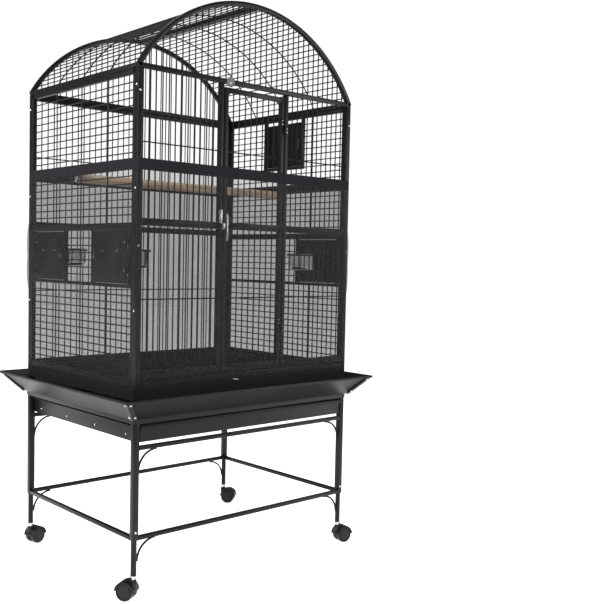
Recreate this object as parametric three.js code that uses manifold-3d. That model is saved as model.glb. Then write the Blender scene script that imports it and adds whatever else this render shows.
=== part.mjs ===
// A floor-standing wire bird cage: a welded body with a barrel roof, on a castered stand.
// Millimetres, +Z up. The front is at -Y, the left wall at -X, and the floor is at z = 0.
import * as THREE from 'three';
import { mergeVertices } from 'three/addons/utils/BufferGeometryUtils.js';
import Module from 'manifold-3d';

const wasm = await Module();
wasm.setup();

// ---- driving dimensions ---------------------------------------------------------------
const CAGE_WIDTH = 813;
const CAGE_DEPTH = 640;
const POST = 18;
const RAIL = 14;
const RAIL_TALL = 20;
const WALL_DEEP = 12;
const STILE = 10;
const WIRE = 3;
const BAR_PITCH = 21.5;
const FIT = 0.3;
const BITE = 1;
const SLIVER = 0.01;

// heights above the floor
const LEG_FOOT_Z = 71;
const RING_Z = 167;
const TRAY_TOP_Z = 481.8;
const TRAY_TALL = 44;
const TRAY_Z = TRAY_TOP_Z - TRAY_TALL;
const TRAY_BAR_DROP = 21.8;
const TRAY_BAR_Z = TRAY_Z - TRAY_BAR_DROP;
const STAND_TOP_Z = 505;
const BASE_RAIL_Z = 557;
const WALL_FOOT_Z = 586;
const FRONT_RAIL_Z = 611;
const LOWER_WIRE_Z = 828;
const MID_RAIL_Z = 1029;
const UPPER_WIRE_Z = 1255;
const ROOF_Z = 1449;

// the roof arch is a 120 degree arc over the full width
const ARCH_HALF_ANGLE = Math.PI / 3;
const ARCH_STEPS = 20;
const RIB_WIRES = 3;
const END_RIB = 5;
const RIDGE_BAR = 12;
const RIDGE_DROP = 1;

// main door, in the middle of the front
const DOOR_WIDTH = 230;
const DOOR_GAP = 3;
const DOOR_HEADROOM = 10;
const DOOR_SILL_GAP = 2;
const HINGE_BARREL_R = 4;
const HINGE_PIN_R = 2;
const HINGE_LEAF = 1.2;
const HINGE_KNUCKLE = 22;
const DOOR_HINGE_Z = [720, 1330];

// latch lever and its keeper
const LEVER_LENGTH = 80;
const LEVER_WIDE = 8;
const LEVER_THICK = 5;
const LEVER_Z = 1035;
const LEVER_STANDOFF = 7;
const LEVER_PIN_R = 3;
const KEEPER_TALL = 45;
const KEEPER_PLATE = 3;

// turn disc over the door's top corner
const DISC_R = 14.5;
const DISC_THICK = 4;
const DISC_PIVOT_R = 3;
const DISC_LIFT = 2.5;
const DISC_X = -98;

// small sheet-metal doors in the side walls
const HATCH_WIDTH = 184;
const HATCH_GAP = 1.5;
const HATCH_RIM = 8;
const HATCH_SHEET = 1.5;
const FEEDER_INSET = 139;
const FEEDER_Z = 869;
const FEEDER_TALL = 146;
const NEST_Y = 0;
const NEST_Z = 1273;
const NEST_TALL = 151;
const JAMB = 10;
const HATCH_BARREL_R = 3.5;
const HATCH_KNUCKLE = 12;
const HATCH_LEAF_WIDE = 16;
const HATCH_HINGE_SHARES = [0.12, 0.66];
const KNOB_R = 9;
const KNOB_THICK = 5;
const KNOB_PIN_R = 3;
const CAM_LENGTH = 36;
const CAM_WIDE = 8;
const CAM_THICK = 2;
const KNOB_INSET = 11;

// food cups and the rings that hold them
const CUP_R = 50;
const CUP_LIP = 6;
const CUP_DEEP = 52;
const CUP_WALL = 1.5;
const RING_BAR = 5;
const RING_OUT = 70;
const RING_DROP = 52;
const RING_ARM_Y = 36;
const RING_ARM_WIDE = 6;

// pull-out tray, floor grille and their slides
const SHEET = 1.5;
const TRAY_FRONT_LIP = 11;
const SLIDE_FLANGE = 16;
const GRILLE_STRIP_Z = 588;
const GRILLE_STRIP_TALL = 21;
const GRILLE_BAR = 8;
const LEDGE_Z = 592;
const LEDGE_THICK = 2;

// seed guards: how far they reach out, and where they start and end
const GUARD_OUT = 62.8;
const GUARD_FOOT_OUT = 8.5;
const GUARD_TIP_Z = 565.5;
const GUARD_HEM = 5;
const GUARD_FLANGE = 15;

// stand
const RING_TUBE = 12;
const STUB_R = 8;
const STAND_RAIL_DROP = 5;
const GUSSET_R = 2.5;
const GUSSET_REACH = 60;
const CASTER_WHEEL_R = 25;
const CASTER_TRAIL = 20;
const CASTER_TREAD = 15;
const CASTER_WEB = 9;
const CASTER_HOOD = 3;
const CASTER_SIDES = 16;
// rest heading of each trailing wheel, in degrees from the front-left leg round
const CASTER_HEADINGS = { front_left: 121, rear_left: 15, rear_right: -52, front_right: -10 };

// perch
const PERCH_R = 14;
const PERCH_Y = 20;
const PERCH_Z = 1182;
const PERCH_STUD_R = 3;

// elastic seed net round the body
const NET_TOP_Z = 1210;
const NET_FOOT_Z = 552;
const TOP_BAND_TALL = 33;
const FOOT_BAND_TALL = 34;
const BAND_THICK = 2;
const NET_THICK = 1;
const NET_BULGE = 12;

// ---- derived places -------------------------------------------------------------------
const HALF_W = CAGE_WIDTH / 2;
const HALF_D = CAGE_DEPTH / 2;
const POST_IN_X = HALF_W - POST;
const POST_IN_Y = HALF_D - POST;
const FRONT = -HALF_D;
const FEEDER_Y = HALF_D - FEEDER_INSET;
const ARCH_R = HALF_W / Math.sin(ARCH_HALF_ANGLE);
const ARCH_Z = ROOF_Z + RAIL - ARCH_R * Math.cos(ARCH_HALF_ANGLE);
const HALF_DOOR = DOOR_WIDTH / 2;
const UPRIGHT_IN = HALF_DOOR + DOOR_GAP;
const UPRIGHT_OUT = UPRIGHT_IN + RAIL;
const DOOR_FOOT_Z = FRONT_RAIL_Z + DOOR_SILL_GAP;
const DOOR_TOP_Z = ROOF_Z - DOOR_HEADROOM;
const WALL_IN = HALF_W - WALL_DEEP;
const WIRE_LINE = HALF_W - WALL_DEEP / 2;
const CROSS_LINE = WIRE_LINE - WIRE - FIT;

// ---- solids ---------------------------------------------------------------------------
function solid(geometry) {
  const bare = geometry.index ? geometry.clone() : geometry;
  bare.deleteAttribute('normal');
  bare.deleteAttribute('uv');
  const merged = mergeVertices(bare, 1e-4);
  return new wasm.Manifold(new wasm.Mesh({
    numProp: 3,
    vertProperties: new Float32Array(merged.attributes.position.array),
    triVerts: new Uint32Array(merged.index.array),
  }));
}

function join(pieces) {
  return pieces.reduce((whole, piece) => whole.add(piece));
}

// A box between two values on each axis, given in either order.
function box(xa, xb, ya, yb, za, zb) {
  const size = [Math.abs(xb - xa), Math.abs(yb - ya), Math.abs(zb - za)];
  const shape = new THREE.BoxGeometry(...size);
  shape.translate((xa + xb) / 2, (ya + yb) / 2, (za + zb) / 2);
  return solid(shape);
}

// A round bar between two points.
function rod(radius, from, to, sides = 12) {
  const start = new THREE.Vector3(...from);
  const run = new THREE.Vector3(...to).sub(start);
  const shape = new THREE.CylinderGeometry(radius, radius, run.length(), sides);
  shape.translate(0, run.length() / 2, 0);
  const turn = new THREE.Quaternion().setFromUnitVectors(
    new THREE.Vector3(0, 1, 0), run.clone().normalize());
  shape.applyQuaternion(turn);
  shape.translate(start.x, start.y, start.z);
  return solid(shape);
}

function outline(points) {
  return new THREE.Shape(points.map(([u, v]) => new THREE.Vector2(u, v)));
}

// A flat outline drawn in X and Z, given its depth along +Y from y = front.
function plateXZ(points, front, depth) {
  const flat = new THREE.ExtrudeGeometry(outline(points), { depth, bevelEnabled: false });
  flat.rotateX(Math.PI / 2);
  flat.translate(0, front + depth, 0);
  return solid(flat);
}

// Even places between two limits, as near the bar pitch as a whole number of gaps allows.
function evenly(low, high, pitch = BAR_PITCH) {
  const gaps = Math.max(1, Math.round((high - low) / pitch));
  return Array.from({ length: gaps - 1 }, (_, i) => low + (high - low) * (i + 1) / gaps);
}

const cage = new THREE.Group();
cage.name = 'bird_cage';

function finish(color, roughness, metalness) {
  return () => new THREE.MeshStandardMaterial({ color, roughness, metalness });
}

const powderCoat = finish(0x2b2b2d, 0.55, 0.3);
const sheetCoat = finish(0x2f2f31, 0.5, 0.3);
const chrome = finish(0xc9ccd0, 0.18, 1);
const steel = finish(0xb9bcc0, 0.25, 1);
const blackPlastic = finish(0x161618, 0.4, 0);
const dowelWood = finish(0xb48a5c, 0.7, 0);
const netting = finish(0x1a191c, 0.9, 0);
const webbing = finish(0x121115, 0.85, 0);

// The joined solid is cleaned of the slivers that booleans leave on flush faces.
function add(name, shape, material, parent = cage) {
  const { vertProperties, triVerts } = shape.asOriginal().simplify(SLIVER).getMesh();
  const geometry = new THREE.BufferGeometry();
  geometry.setAttribute('position', new THREE.BufferAttribute(vertProperties, 3));
  geometry.setIndex(new THREE.BufferAttribute(triVerts, 1));
  geometry.computeVertexNormals();
  const mesh = new THREE.Mesh(geometry, material());
  mesh.name = name;
  parent.add(mesh);
  return mesh;
}

const SIDES = [['left', -1], ['right', 1]];
const ENDS = [['front', -1], ['rear', 1]];

// ---- front: two fixed panels of upright bars, one each side of the door ------------------
function hingeBarrel(x, y, z, tall, radius) {
  return rod(radius, [x, y, z], [x, y, z + tall], 12);
}

const DOOR_AXIS = [UPRIGHT_IN - DOOR_GAP / 2, FRONT - HINGE_BARREL_R - HINGE_LEAF + 0.2];

function leafOver(xa, xb, z) {
  return box(xa, xb, FRONT - HINGE_LEAF, FRONT + 0.2, z, z + HINGE_KNUCKLE);
}

for (const [side, s] of SIDES) {
  const barTop = ROOF_Z - FIT;
  const barLine = FRONT + RAIL / 2;
  const crossLine = barLine + WIRE + FIT;
  const pieces = [
    box(s * POST_IN_X, s * HALF_W, FRONT, FRONT + POST, STAND_TOP_Z, barTop),
    box(s * UPRIGHT_IN, s * UPRIGHT_OUT, FRONT, FRONT + RAIL, FRONT_RAIL_Z, barTop),
    box(s * (UPRIGHT_OUT - BITE), s * (POST_IN_X + BITE), FRONT, FRONT + RAIL,
      FRONT_RAIL_Z, FRONT_RAIL_Z + RAIL_TALL),
    box(s * (UPRIGHT_OUT - BITE), s * (POST_IN_X + BITE), FRONT + 1, FRONT + RAIL - 1,
      MID_RAIL_Z, MID_RAIL_Z + RAIL_TALL),
  ];
  for (const x of evenly(UPRIGHT_OUT, POST_IN_X)) {
    pieces.push(box(s * x - WIRE / 2, s * x + WIRE / 2, barLine - WIRE / 2, barLine + WIRE / 2,
      FRONT_RAIL_Z + RAIL_TALL - BITE, barTop));
  }
  for (const z of [LOWER_WIRE_Z, UPPER_WIRE_Z]) {
    pieces.push(box(s * (UPRIGHT_OUT - BITE), s * (POST_IN_X + BITE),
      crossLine - WIRE / 2, crossLine + WIRE / 2, z - WIRE / 2, z + WIRE / 2));
  }
  if (side === 'right') {
    for (const z of DOOR_HINGE_Z) {
      pieces.push(leafOver(DOOR_AXIS[0], UPRIGHT_OUT - 2, z));
      pieces.push(hingeBarrel(...DOOR_AXIS, z, HINGE_KNUCKLE, HINGE_BARREL_R));
      pieces.push(rod(HINGE_PIN_R, [...DOOR_AXIS, z + HINGE_KNUCKLE - BITE],
        [...DOOR_AXIS, z + 2 * HINGE_KNUCKLE]));
    }
  }
  add(`front_panel_${side}`, join(pieces), powderCoat);
}

add('base_front_rail', box(-POST_IN_X + FIT, POST_IN_X - FIT, FRONT, FRONT + RING_TUBE,
  BASE_RAIL_Z, BASE_RAIL_Z + RAIL_TALL), powderCoat);

// ---- rear wall: the two rear posts, three rails and upright bars -------------------------
{
  const back = HALF_D;
  const barLine = back - RAIL / 2;
  const crossLine = barLine - WIRE - FIT;
  const top = ROOF_Z - FIT;
  const span = [-POST_IN_X - BITE, POST_IN_X + BITE];
  const pieces = [
    box(...span, back - RAIL, back, WALL_FOOT_Z, WALL_FOOT_Z + RAIL_TALL),
    box(...span, back - RAIL + 1, back - 1, MID_RAIL_Z, MID_RAIL_Z + RAIL_TALL),
    box(...span, back - RAIL, back, top - RAIL, top),
  ];
  for (const s of [-1, 1]) {
    pieces.push(box(s * POST_IN_X, s * HALF_W, back - POST, back, STAND_TOP_Z, top));
  }
  for (const x of evenly(-POST_IN_X, POST_IN_X)) {
    pieces.push(box(x - WIRE / 2, x + WIRE / 2, barLine - WIRE / 2, barLine + WIRE / 2,
      WALL_FOOT_Z + RAIL_TALL - BITE, top - RAIL + BITE));
  }
  for (const z of [LOWER_WIRE_Z, UPPER_WIRE_Z]) {
    pieces.push(box(...span, crossLine - WIRE / 2, crossLine + WIRE / 2,
      z - WIRE / 2, z + WIRE / 2));
  }
  add('rear_panel', join(pieces), powderCoat);
}

// ---- side walls: frames of level wires, with openings for the small doors ----------------
const FEEDER = { tall: FEEDER_TALL, z: FEEDER_Z };
const HATCHES = [
  { name: 'feeder_front_left', side: -1, y: -FEEDER_Y, hinge: -1, cup: true, ...FEEDER },
  { name: 'feeder_rear_left', side: -1, y: FEEDER_Y, hinge: 1, cup: true, ...FEEDER },
  { name: 'feeder_front_right', side: 1, y: -FEEDER_Y, hinge: -1, cup: true, ...FEEDER },
  { name: 'nest', side: 1, y: NEST_Y, hinge: 1, cup: false, z: NEST_Z, tall: NEST_TALL },
];
const HATCH_HOLE = HATCH_WIDTH / 2 + HATCH_GAP;

function hatchAxis(hatch) {
  const out = HALF_W + HATCH_BARREL_R + HINGE_LEAF - 0.2;
  return [hatch.side * out, hatch.y + hatch.hinge * (HATCH_HOLE - HATCH_GAP / 2)];
}

function hatchHingeHeights(hatch) {
  return HATCH_HINGE_SHARES.map((share) => hatch.z + share * hatch.tall);
}

// the side walls' three fields of wire: under, between and over the feeder rails
const FEEDER_TOP = FEEDER_Z + FEEDER_TALL;
const RAIL_OVER = [FEEDER_TOP + HATCH_GAP, FEEDER_TOP + HATCH_GAP + RAIL_TALL];
const RAIL_UNDER = [FEEDER_Z - HATCH_GAP - JAMB, FEEDER_Z - HATCH_GAP];
const WALL_TOP = ROOF_Z - FIT;
const FIELDS = [
  [WALL_FOOT_Z + RAIL_TALL, RAIL_UNDER[0]],
  [RAIL_UNDER[1], RAIL_OVER[0]],
  [RAIL_OVER[1], WALL_TOP - RAIL],
];

for (const [side, s] of SIDES) {
  const end = POST_IN_Y - FIT;
  const top = WALL_TOP;
  const across = (ya, yb, za, zb) => box(s * WALL_IN, s * HALF_W, ya, yb, za, zb);
  const level = (ya, yb, z) => box(s * (WIRE_LINE - WIRE / 2), s * (WIRE_LINE + WIRE / 2),
    ya - BITE, yb + BITE, z - WIRE / 2, z + WIRE / 2);
  const upright = (y, za, zb) => box(s * (CROSS_LINE - WIRE / 2), s * (CROSS_LINE + WIRE / 2),
    y - WIRE / 2, y + WIRE / 2, za - BITE, zb + BITE);
  const holes = HATCHES.filter((hatch) => hatch.side === s);
  const pieces = [
    across(-end, end, WALL_FOOT_Z, WALL_FOOT_Z + RAIL_TALL),
    across(-end, end, top - RAIL, top),
    across(-end, -end + STILE, WALL_FOOT_Z, top),
    across(end - STILE, end, WALL_FOOT_Z, top),
    across(-end, end, ...RAIL_OVER),
    across(-end, end, ...RAIL_UNDER),
    box(s * (WALL_IN - SLIDE_FLANGE), s * (WALL_IN + BITE), -end, end,
      LEDGE_Z, LEDGE_Z + LEDGE_THICK),
  ];
  for (const hole of holes) {
    const low = hole.z - HATCH_GAP;
    const high = hole.cup ? RAIL_OVER[0] : top - RAIL;
    for (const t of [-1, 1]) {
      const inner = hole.y + t * HATCH_HOLE;
      pieces.push(across(inner, inner + t * JAMB, low - BITE, high + BITE));
    }
    if (!hole.cup) {
      pieces.push(across(hole.y - HATCH_HOLE - JAMB, hole.y + HATCH_HOLE + JAMB, low - JAMB, low));
    }
    const [axisX, axisY] = hatchAxis(hole);
    for (const z of hatchHingeHeights(hole)) {
      const jamb = hole.y + hole.hinge * (HATCH_HOLE + JAMB - 1);
      pieces.push(box(s * (HALF_W - 0.2), s * (HALF_W + HINGE_LEAF), axisY, jamb,
        z, z + HATCH_KNUCKLE));
      pieces.push(hingeBarrel(axisX, axisY, z, HATCH_KNUCKLE, HATCH_BARREL_R));
      pieces.push(rod(HINGE_PIN_R, [axisX, axisY, z + HATCH_KNUCKLE - BITE],
        [axisX, axisY, z + 2 * HATCH_KNUCKLE]));
    }
  }
  // free runs of wire at one height: the wall's width less the small doors at that height
  const runs = (z) => {
    let free = [[-end + STILE, end - STILE]];
    for (const hole of holes) {
      const low = hole.z - HATCH_GAP - (hole.cup ? 0 : JAMB);
      const high = hole.z + hole.tall + HATCH_GAP;
      if (z < low || z > high) continue;
      const a = hole.y - HATCH_HOLE - JAMB;
      const b = hole.y + HATCH_HOLE + JAMB;
      free = free.flatMap(([lo, hi]) => (b < lo || a > hi ? [[lo, hi]] : [[lo, a], [b, hi]]));
    }
    return free.filter(([lo, hi]) => hi - lo > BAR_PITCH / 2);
  };
  for (const [low, high] of FIELDS) {
    for (const z of evenly(low, high)) {
      for (const [lo, hi] of runs(z)) pieces.push(level(lo, hi, z));
    }
  }
  for (const y of evenly(-POST_IN_Y, POST_IN_Y, POST_IN_Y / 2)) {
    for (const [low, high] of FIELDS) {
      const blocking = holes.filter((hole) => Math.abs(hole.y - y) < HATCH_HOLE
        && hole.z < high && hole.z + hole.tall > low);
      if (blocking.length === 0) pieces.push(upright(y, low, high));
      else if (blocking[0].z > low + JAMB) {
        pieces.push(upright(y, low, blocking[0].z - HATCH_GAP - JAMB));
      }
    }
  }
  add(`wall_${side}`, join(pieces), powderCoat);
}

// ---- roof: two end arches with upright bars, and two wire halves that meet at the ridge --
function arcPoints(radius, halfAngle, steps = ARCH_STEPS) {
  return Array.from({ length: steps + 1 }, (_, i) => {
    const a = halfAngle - (2 * halfAngle * i) / steps;
    return [radius * Math.sin(a), ARCH_Z + radius * Math.cos(a)];
  });
}

for (const [end, e] of ENDS) {
  const front = e < 0 ? FRONT : HALF_D - RAIL;
  const innerR = ARCH_R - RAIL;
  const floor = ROOF_Z + RAIL;
  const innerHalf = Math.acos((floor - ARCH_Z) / innerR);
  const rim = [[-HALF_W, ROOF_Z], [HALF_W, ROOF_Z], ...arcPoints(ARCH_R, ARCH_HALF_ANGLE)];
  const pieces = [plateXZ(rim, front, RAIL)
    .subtract(plateXZ(arcPoints(innerR, innerHalf), front - 1, RAIL + 2))];
  const half = innerR * Math.sin(innerHalf);
  const line = front + RAIL / 2;
  for (const x of evenly(-half, half)) {
    const height = ARCH_Z + Math.sqrt(innerR * innerR - x * x);
    if (height - floor < WIRE * 2) continue;
    pieces.push(box(x - WIRE / 2, x + WIRE / 2, line - WIRE / 2, line + WIRE / 2,
      floor - BITE, height + BITE));
  }
  add(`roof_arch_${end}`, join(pieces), powderCoat);
}

for (const [side, s] of SIDES) {
  const end = HALF_D - RAIL - FIT;
  const radius = ARCH_R - RAIL / 2;
  const ridgeTop = ARCH_Z + ARCH_R - RIDGE_DROP;
  const ridge = RIDGE_BAR;
  // an arched wire from the base rail to the ridge, as a ring cut to one side
  const rib = (r, wide, y) => {
    const ring = [...arcPoints(r + wide / 2, ARCH_HALF_ANGLE),
      ...arcPoints(r - wide / 2, ARCH_HALF_ANGLE).reverse()];
    const half = plateXZ(ring, y - wide / 2, wide);
    return half.intersect(box(s * ridge / 2, s * HALF_W, -HALF_D, HALF_D, ROOF_Z, ARCH_Z + ARCH_R));
  };
  const pieces = [
    box(s * (HALF_W - RAIL), s * HALF_W, -end, end, ROOF_Z, ROOF_Z + RAIL),
    box(s * FIT, s * ridge, -end, end, ridgeTop - RAIL, ridgeTop),
    rib(radius, END_RIB, -end + END_RIB / 2),
    rib(radius, END_RIB, end - END_RIB / 2),
  ];
  for (const y of evenly(-end, end, (2 * end) / (RIB_WIRES + 1))) {
    pieces.push(rib(radius - WIRE - FIT, WIRE, y));
  }
  const first = Math.asin(ridge / radius);
  const rows = Math.round((radius * (ARCH_HALF_ANGLE - first)) / BAR_PITCH);
  for (let i = 1; i < rows; i += 1) {
    const a = first + (ARCH_HALF_ANGLE - first) * (i / rows);
    const wire = new THREE.BoxGeometry(WIRE, 2 * end - 2, WIRE);
    wire.rotateY(s * a);
    wire.translate(s * radius * Math.sin(a), 0, ARCH_Z + radius * Math.cos(a));
    pieces.push(solid(wire));
  }
  add(`roof_half_${side}`, join(pieces), powderCoat);
}

// ---- main door, its latch lever and keeper, and the turn disc ----------------------------
const LEVER_X = -HALF_DOOR + RAIL / 2;
{
  const barLine = FRONT + RAIL / 2;
  const crossLine = barLine + WIRE + FIT;
  const inner = HALF_DOOR - RAIL;
  const y0 = FRONT;
  const y1 = FRONT + RAIL;
  const pieces = [
    box(-HALF_DOOR, -inner, y0, y1, DOOR_FOOT_Z, DOOR_TOP_Z),
    box(inner, HALF_DOOR, y0, y1, DOOR_FOOT_Z, DOOR_TOP_Z),
    box(-inner - BITE, inner + BITE, y0, y1, DOOR_FOOT_Z, FRONT_RAIL_Z + RAIL_TALL),
    box(-inner - BITE, inner + BITE, y0 + 1, y1 - 1, MID_RAIL_Z, MID_RAIL_Z + RAIL_TALL),
    box(-inner - BITE, inner + BITE, y0, y1, DOOR_TOP_Z - RAIL, DOOR_TOP_Z),
  ];
  for (const x of evenly(-inner, inner)) {
    pieces.push(box(x - WIRE / 2, x + WIRE / 2, barLine - WIRE / 2, barLine + WIRE / 2,
      FRONT_RAIL_Z + RAIL_TALL - BITE, DOOR_TOP_Z - RAIL + BITE));
  }
  for (const z of [LOWER_WIRE_Z, UPPER_WIRE_Z]) {
    pieces.push(box(-inner - BITE, inner + BITE, crossLine - WIRE / 2, crossLine + WIRE / 2,
      z - WIRE / 2, z + WIRE / 2));
  }
  for (const z of DOOR_HINGE_Z) {
    const low = z + HINGE_KNUCKLE + FIT;
    const leaf = leafOver(inner, DOOR_AXIS[0], low);
    const hole = rod(HINGE_PIN_R + FIT, [...DOOR_AXIS, low - 1], [...DOOR_AXIS, low + 2 * HINGE_KNUCKLE]);
    pieces.push(leaf.add(hingeBarrel(...DOOR_AXIS, low, HINGE_KNUCKLE, HINGE_BARREL_R))
      .subtract(hole));
  }
  // tapered sheet that keeps beaks off the latch
  pieces.push(plateXZ([[-inner - BITE, LEVER_Z - 45], [-inner + 10, LEVER_Z - 40],
    [-inner + 20, MID_RAIL_Z + RAIL_TALL], [-inner + 6, LEVER_Z + 45], [-inner - BITE, LEVER_Z + 45]],
  FRONT + 1, SHEET));
  const bore = rod(LEVER_PIN_R + FIT, [LEVER_X, FRONT - 1, LEVER_Z],
    [LEVER_X, FRONT + RAIL + 1, LEVER_Z]);
  add('main_door', join(pieces).subtract(bore), powderCoat);

  const face = FRONT - LEVER_STANDOFF;
  const lever = join([
    rod(LEVER_PIN_R, [LEVER_X, face, LEVER_Z], [LEVER_X, FRONT + RAIL, LEVER_Z]),
    rod(LEVER_PIN_R * 2, [LEVER_X, face, LEVER_Z], [LEVER_X, FRONT - FIT, LEVER_Z], 16),
    box(LEVER_X - LEVER_WIDE / 2, LEVER_X + LEVER_WIDE / 2, face - LEVER_THICK, face + BITE,
      LEVER_Z - LEVER_LENGTH / 2, LEVER_Z + LEVER_LENGTH / 2),
  ]);
  add('latch_lever', lever, chrome);

  const hookZ = LEVER_Z + LEVER_WIDE / 2 + 1.5;
  const hookFront = face - LEVER_THICK - 1;
  const xa = -UPRIGHT_OUT + 1;
  const xb = -UPRIGHT_IN - 1;
  add('latch_keeper', join([
    box(xa, xb, FRONT - FIT - KEEPER_PLATE, FRONT - FIT, hookZ, hookZ + KEEPER_TALL),
    box(xa, xb, hookFront - KEEPER_PLATE, FRONT - FIT, hookZ, hookZ + 5),
    box(xa, xb, hookFront - KEEPER_PLATE, hookFront, hookZ - 12, hookZ + 5),
  ]), chrome);

  // turned up it clears the door, and half a turn brings it down over the door's top
  const pivotZ = ROOF_Z + DISC_PIVOT_R;
  add('turn_disc', join([
    rod(DISC_R, [DISC_X, FRONT - FIT - DISC_THICK, pivotZ + DISC_LIFT],
      [DISC_X, FRONT - FIT, pivotZ + DISC_LIFT], 24),
    rod(DISC_PIVOT_R, [DISC_X, FRONT - FIT - DISC_THICK - 1.5, pivotZ],
      [DISC_X, FRONT - FIT, pivotZ]),
  ]), sheetCoat);
}

// ---- small doors with folded rims; the feeder doors carry a cup ring ---------------------
for (const hatch of HATCHES) {
  const { side: s, y, z, tall, hinge, cup } = hatch;
  const half = HATCH_WIDTH / 2;
  const centreZ = z + tall / 2;
  const inner = HALF_W - HATCH_RIM;
  const [axisX, axisY] = hatchAxis(hatch);
  const pieces = [box(s * inner, s * HALF_W, y - half, y + half, z, z + tall).subtract(
    box(s * (inner - 1), s * (HALF_W - HATCH_SHEET), y - half + HATCH_SHEET,
      y + half - HATCH_SHEET, z + HATCH_SHEET, z + tall - HATCH_SHEET))];
  for (const foot of hatchHingeHeights(hatch)) {
    const low = foot + HATCH_KNUCKLE + FIT;
    const leaf = box(s * (HALF_W - 0.2), s * (HALF_W + HINGE_LEAF), axisY,
      y + hinge * (half - HATCH_LEAF_WIDE), low, low + HATCH_KNUCKLE);
    const barrel = hingeBarrel(axisX, axisY, low, HATCH_KNUCKLE, HATCH_BARREL_R);
    const hole = rod(HINGE_PIN_R + FIT, [axisX, axisY, low - 1],
      [axisX, axisY, low + HATCH_KNUCKLE + 2]);
    pieces.push(leaf.add(barrel).subtract(hole));
  }
  const knobY = y - hinge * (half - KNOB_INSET);
  const hole = rod(KNOB_PIN_R + FIT, [s * (HALF_W - 20), knobY, centreZ],
    [s * (HALF_W + 5), knobY, centreZ]);
  const ringX = s * (HALF_W - RING_OUT);
  const ringTop = z + tall - RING_DROP;
  if (cup) {
    const innerR = CUP_R + 2;
    const ring = rod(innerR + RING_BAR, [ringX, y, ringTop - RING_BAR], [ringX, y, ringTop], 20)
      .subtract(rod(innerR, [ringX, y, ringTop - 20], [ringX, y, ringTop + 20], 20));
    pieces.push(ring);
    // two arms run from the middle of the ring's bar to the door's skin
    const start = Math.sqrt((innerR + RING_BAR / 2) ** 2 - RING_ARM_Y ** 2);
    for (const t of [-1, 1]) {
      pieces.push(box(s * (HALF_W - RING_OUT + start), s * (HALF_W - HATCH_SHEET / 2),
        y + t * RING_ARM_Y, y + t * (RING_ARM_Y + RING_ARM_WIDE), ringTop - RING_BAR, ringTop));
    }
  }
  const door = join(pieces).subtract(hole);
  add(`${hatch.name}_door`, door, sheetCoat);

  const knob = join([
    rod(KNOB_PIN_R, [s * (HALF_W + FIT + 1), knobY, centreZ],
      [s * (WALL_IN - FIT - CAM_THICK / 2), knobY, centreZ], 10),
    rod(KNOB_R, [s * (HALF_W + FIT), knobY, centreZ],
      [s * (HALF_W + FIT + KNOB_THICK), knobY, centreZ], 16),
    box(s * (WALL_IN - FIT - CAM_THICK), s * (WALL_IN - FIT), knobY - CAM_WIDE / 2,
      knobY + CAM_WIDE / 2, centreZ - CAM_LENGTH / 2, centreZ + CAM_LENGTH / 2),
  ]);
  add(`${hatch.name}_knob`, knob, blackPlastic);

  if (cup) {
    const lip = CUP_R + CUP_LIP;
    const profile = [[0, -CUP_DEEP], [CUP_R - 12, -CUP_DEEP], [CUP_R - 4, -CUP_DEEP + 4],
      [CUP_R, -CUP_DEEP + 14], [CUP_R, FIT], [lip, FIT], [lip, FIT + CUP_WALL],
      [CUP_R - CUP_WALL, FIT + CUP_WALL], [CUP_R - CUP_WALL, -CUP_DEEP + 15],
      [CUP_R - 5, -CUP_DEEP + 5.5], [CUP_R - 12, -CUP_DEEP + CUP_WALL], [0, -CUP_DEEP + CUP_WALL]];
    const bowl = new THREE.LatheGeometry(profile.map(([r, h]) => new THREE.Vector2(r, h)), 16);
    bowl.rotateX(Math.PI / 2);
    bowl.translate(ringX, y, ringTop);
    add(`cup_${hatch.name.replace('feeder_', '')}`, solid(bowl), steel);
  }
}

// ---- perch: a dowel bolted through the side walls ----------------------------------------
{
  const end = WIRE_LINE - WIRE / 2 - FIT;
  const tip = HALF_W - FIT;
  const nut = WIRE_LINE + WIRE / 2 + FIT;
  // the stud passes halfway between two wires, so the perch takes the gap nearest PERCH_Z
  const wires = evenly(...FIELDS[2]);
  const gaps = wires.slice(1).map((z, i) => (z + wires[i]) / 2);
  const z = gaps.reduce((best, gap) => (
    Math.abs(gap - PERCH_Z) < Math.abs(best - PERCH_Z) ? gap : best));
  const pieces = [rod(PERCH_R, [-end, PERCH_Y, z], [end, PERCH_Y, z], 14),
    rod(PERCH_STUD_R, [-tip, PERCH_Y, z], [tip, PERCH_Y, z], 8)];
  for (const s of [-1, 1]) {
    pieces.push(rod(PERCH_R - 2, [s * nut, PERCH_Y, z], [s * (nut + 2), PERCH_Y, z], 12));
  }
  add('perch', join(pieces), dowelWood);
}

// ---- floor grille on the side ledges, and the tray on its slides -------------------------
{
  const half = POST_IN_X - 1.5;
  const back = HALF_D - RAIL - 2;
  const low = LEDGE_Z + LEDGE_THICK + FIT;
  const mid = low + GRILLE_BAR / 2;
  const stripBack = FRONT + 5;
  const pieces = [
    box(-half, half, FRONT + 1, stripBack, GRILLE_STRIP_Z, GRILLE_STRIP_Z + GRILLE_STRIP_TALL),
    box(-half, half, back - GRILLE_BAR, back, low, low + GRILLE_BAR),
    box(-half, -half + GRILLE_BAR, stripBack - BITE, back, low, low + GRILLE_BAR),
    box(half - GRILLE_BAR, half, stripBack - BITE, back, low, low + GRILLE_BAR),
  ];
  for (const x of evenly(-half + GRILLE_BAR, half - GRILLE_BAR)) {
    pieces.push(box(x - WIRE / 2, x + WIRE / 2, stripBack - BITE, back - GRILLE_BAR + BITE,
      mid - WIRE / 2, mid + WIRE / 2));
  }
  for (const y of evenly(stripBack, back, (back - stripBack) / 3)) {
    pieces.push(box(-half + GRILLE_BAR - BITE, half - GRILLE_BAR + BITE, y - WIRE / 2, y + WIRE / 2,
      low + FIT, mid - WIRE / 2 - FIT));
  }
  add('floor_grille', join(pieces), powderCoat);
}

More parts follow.
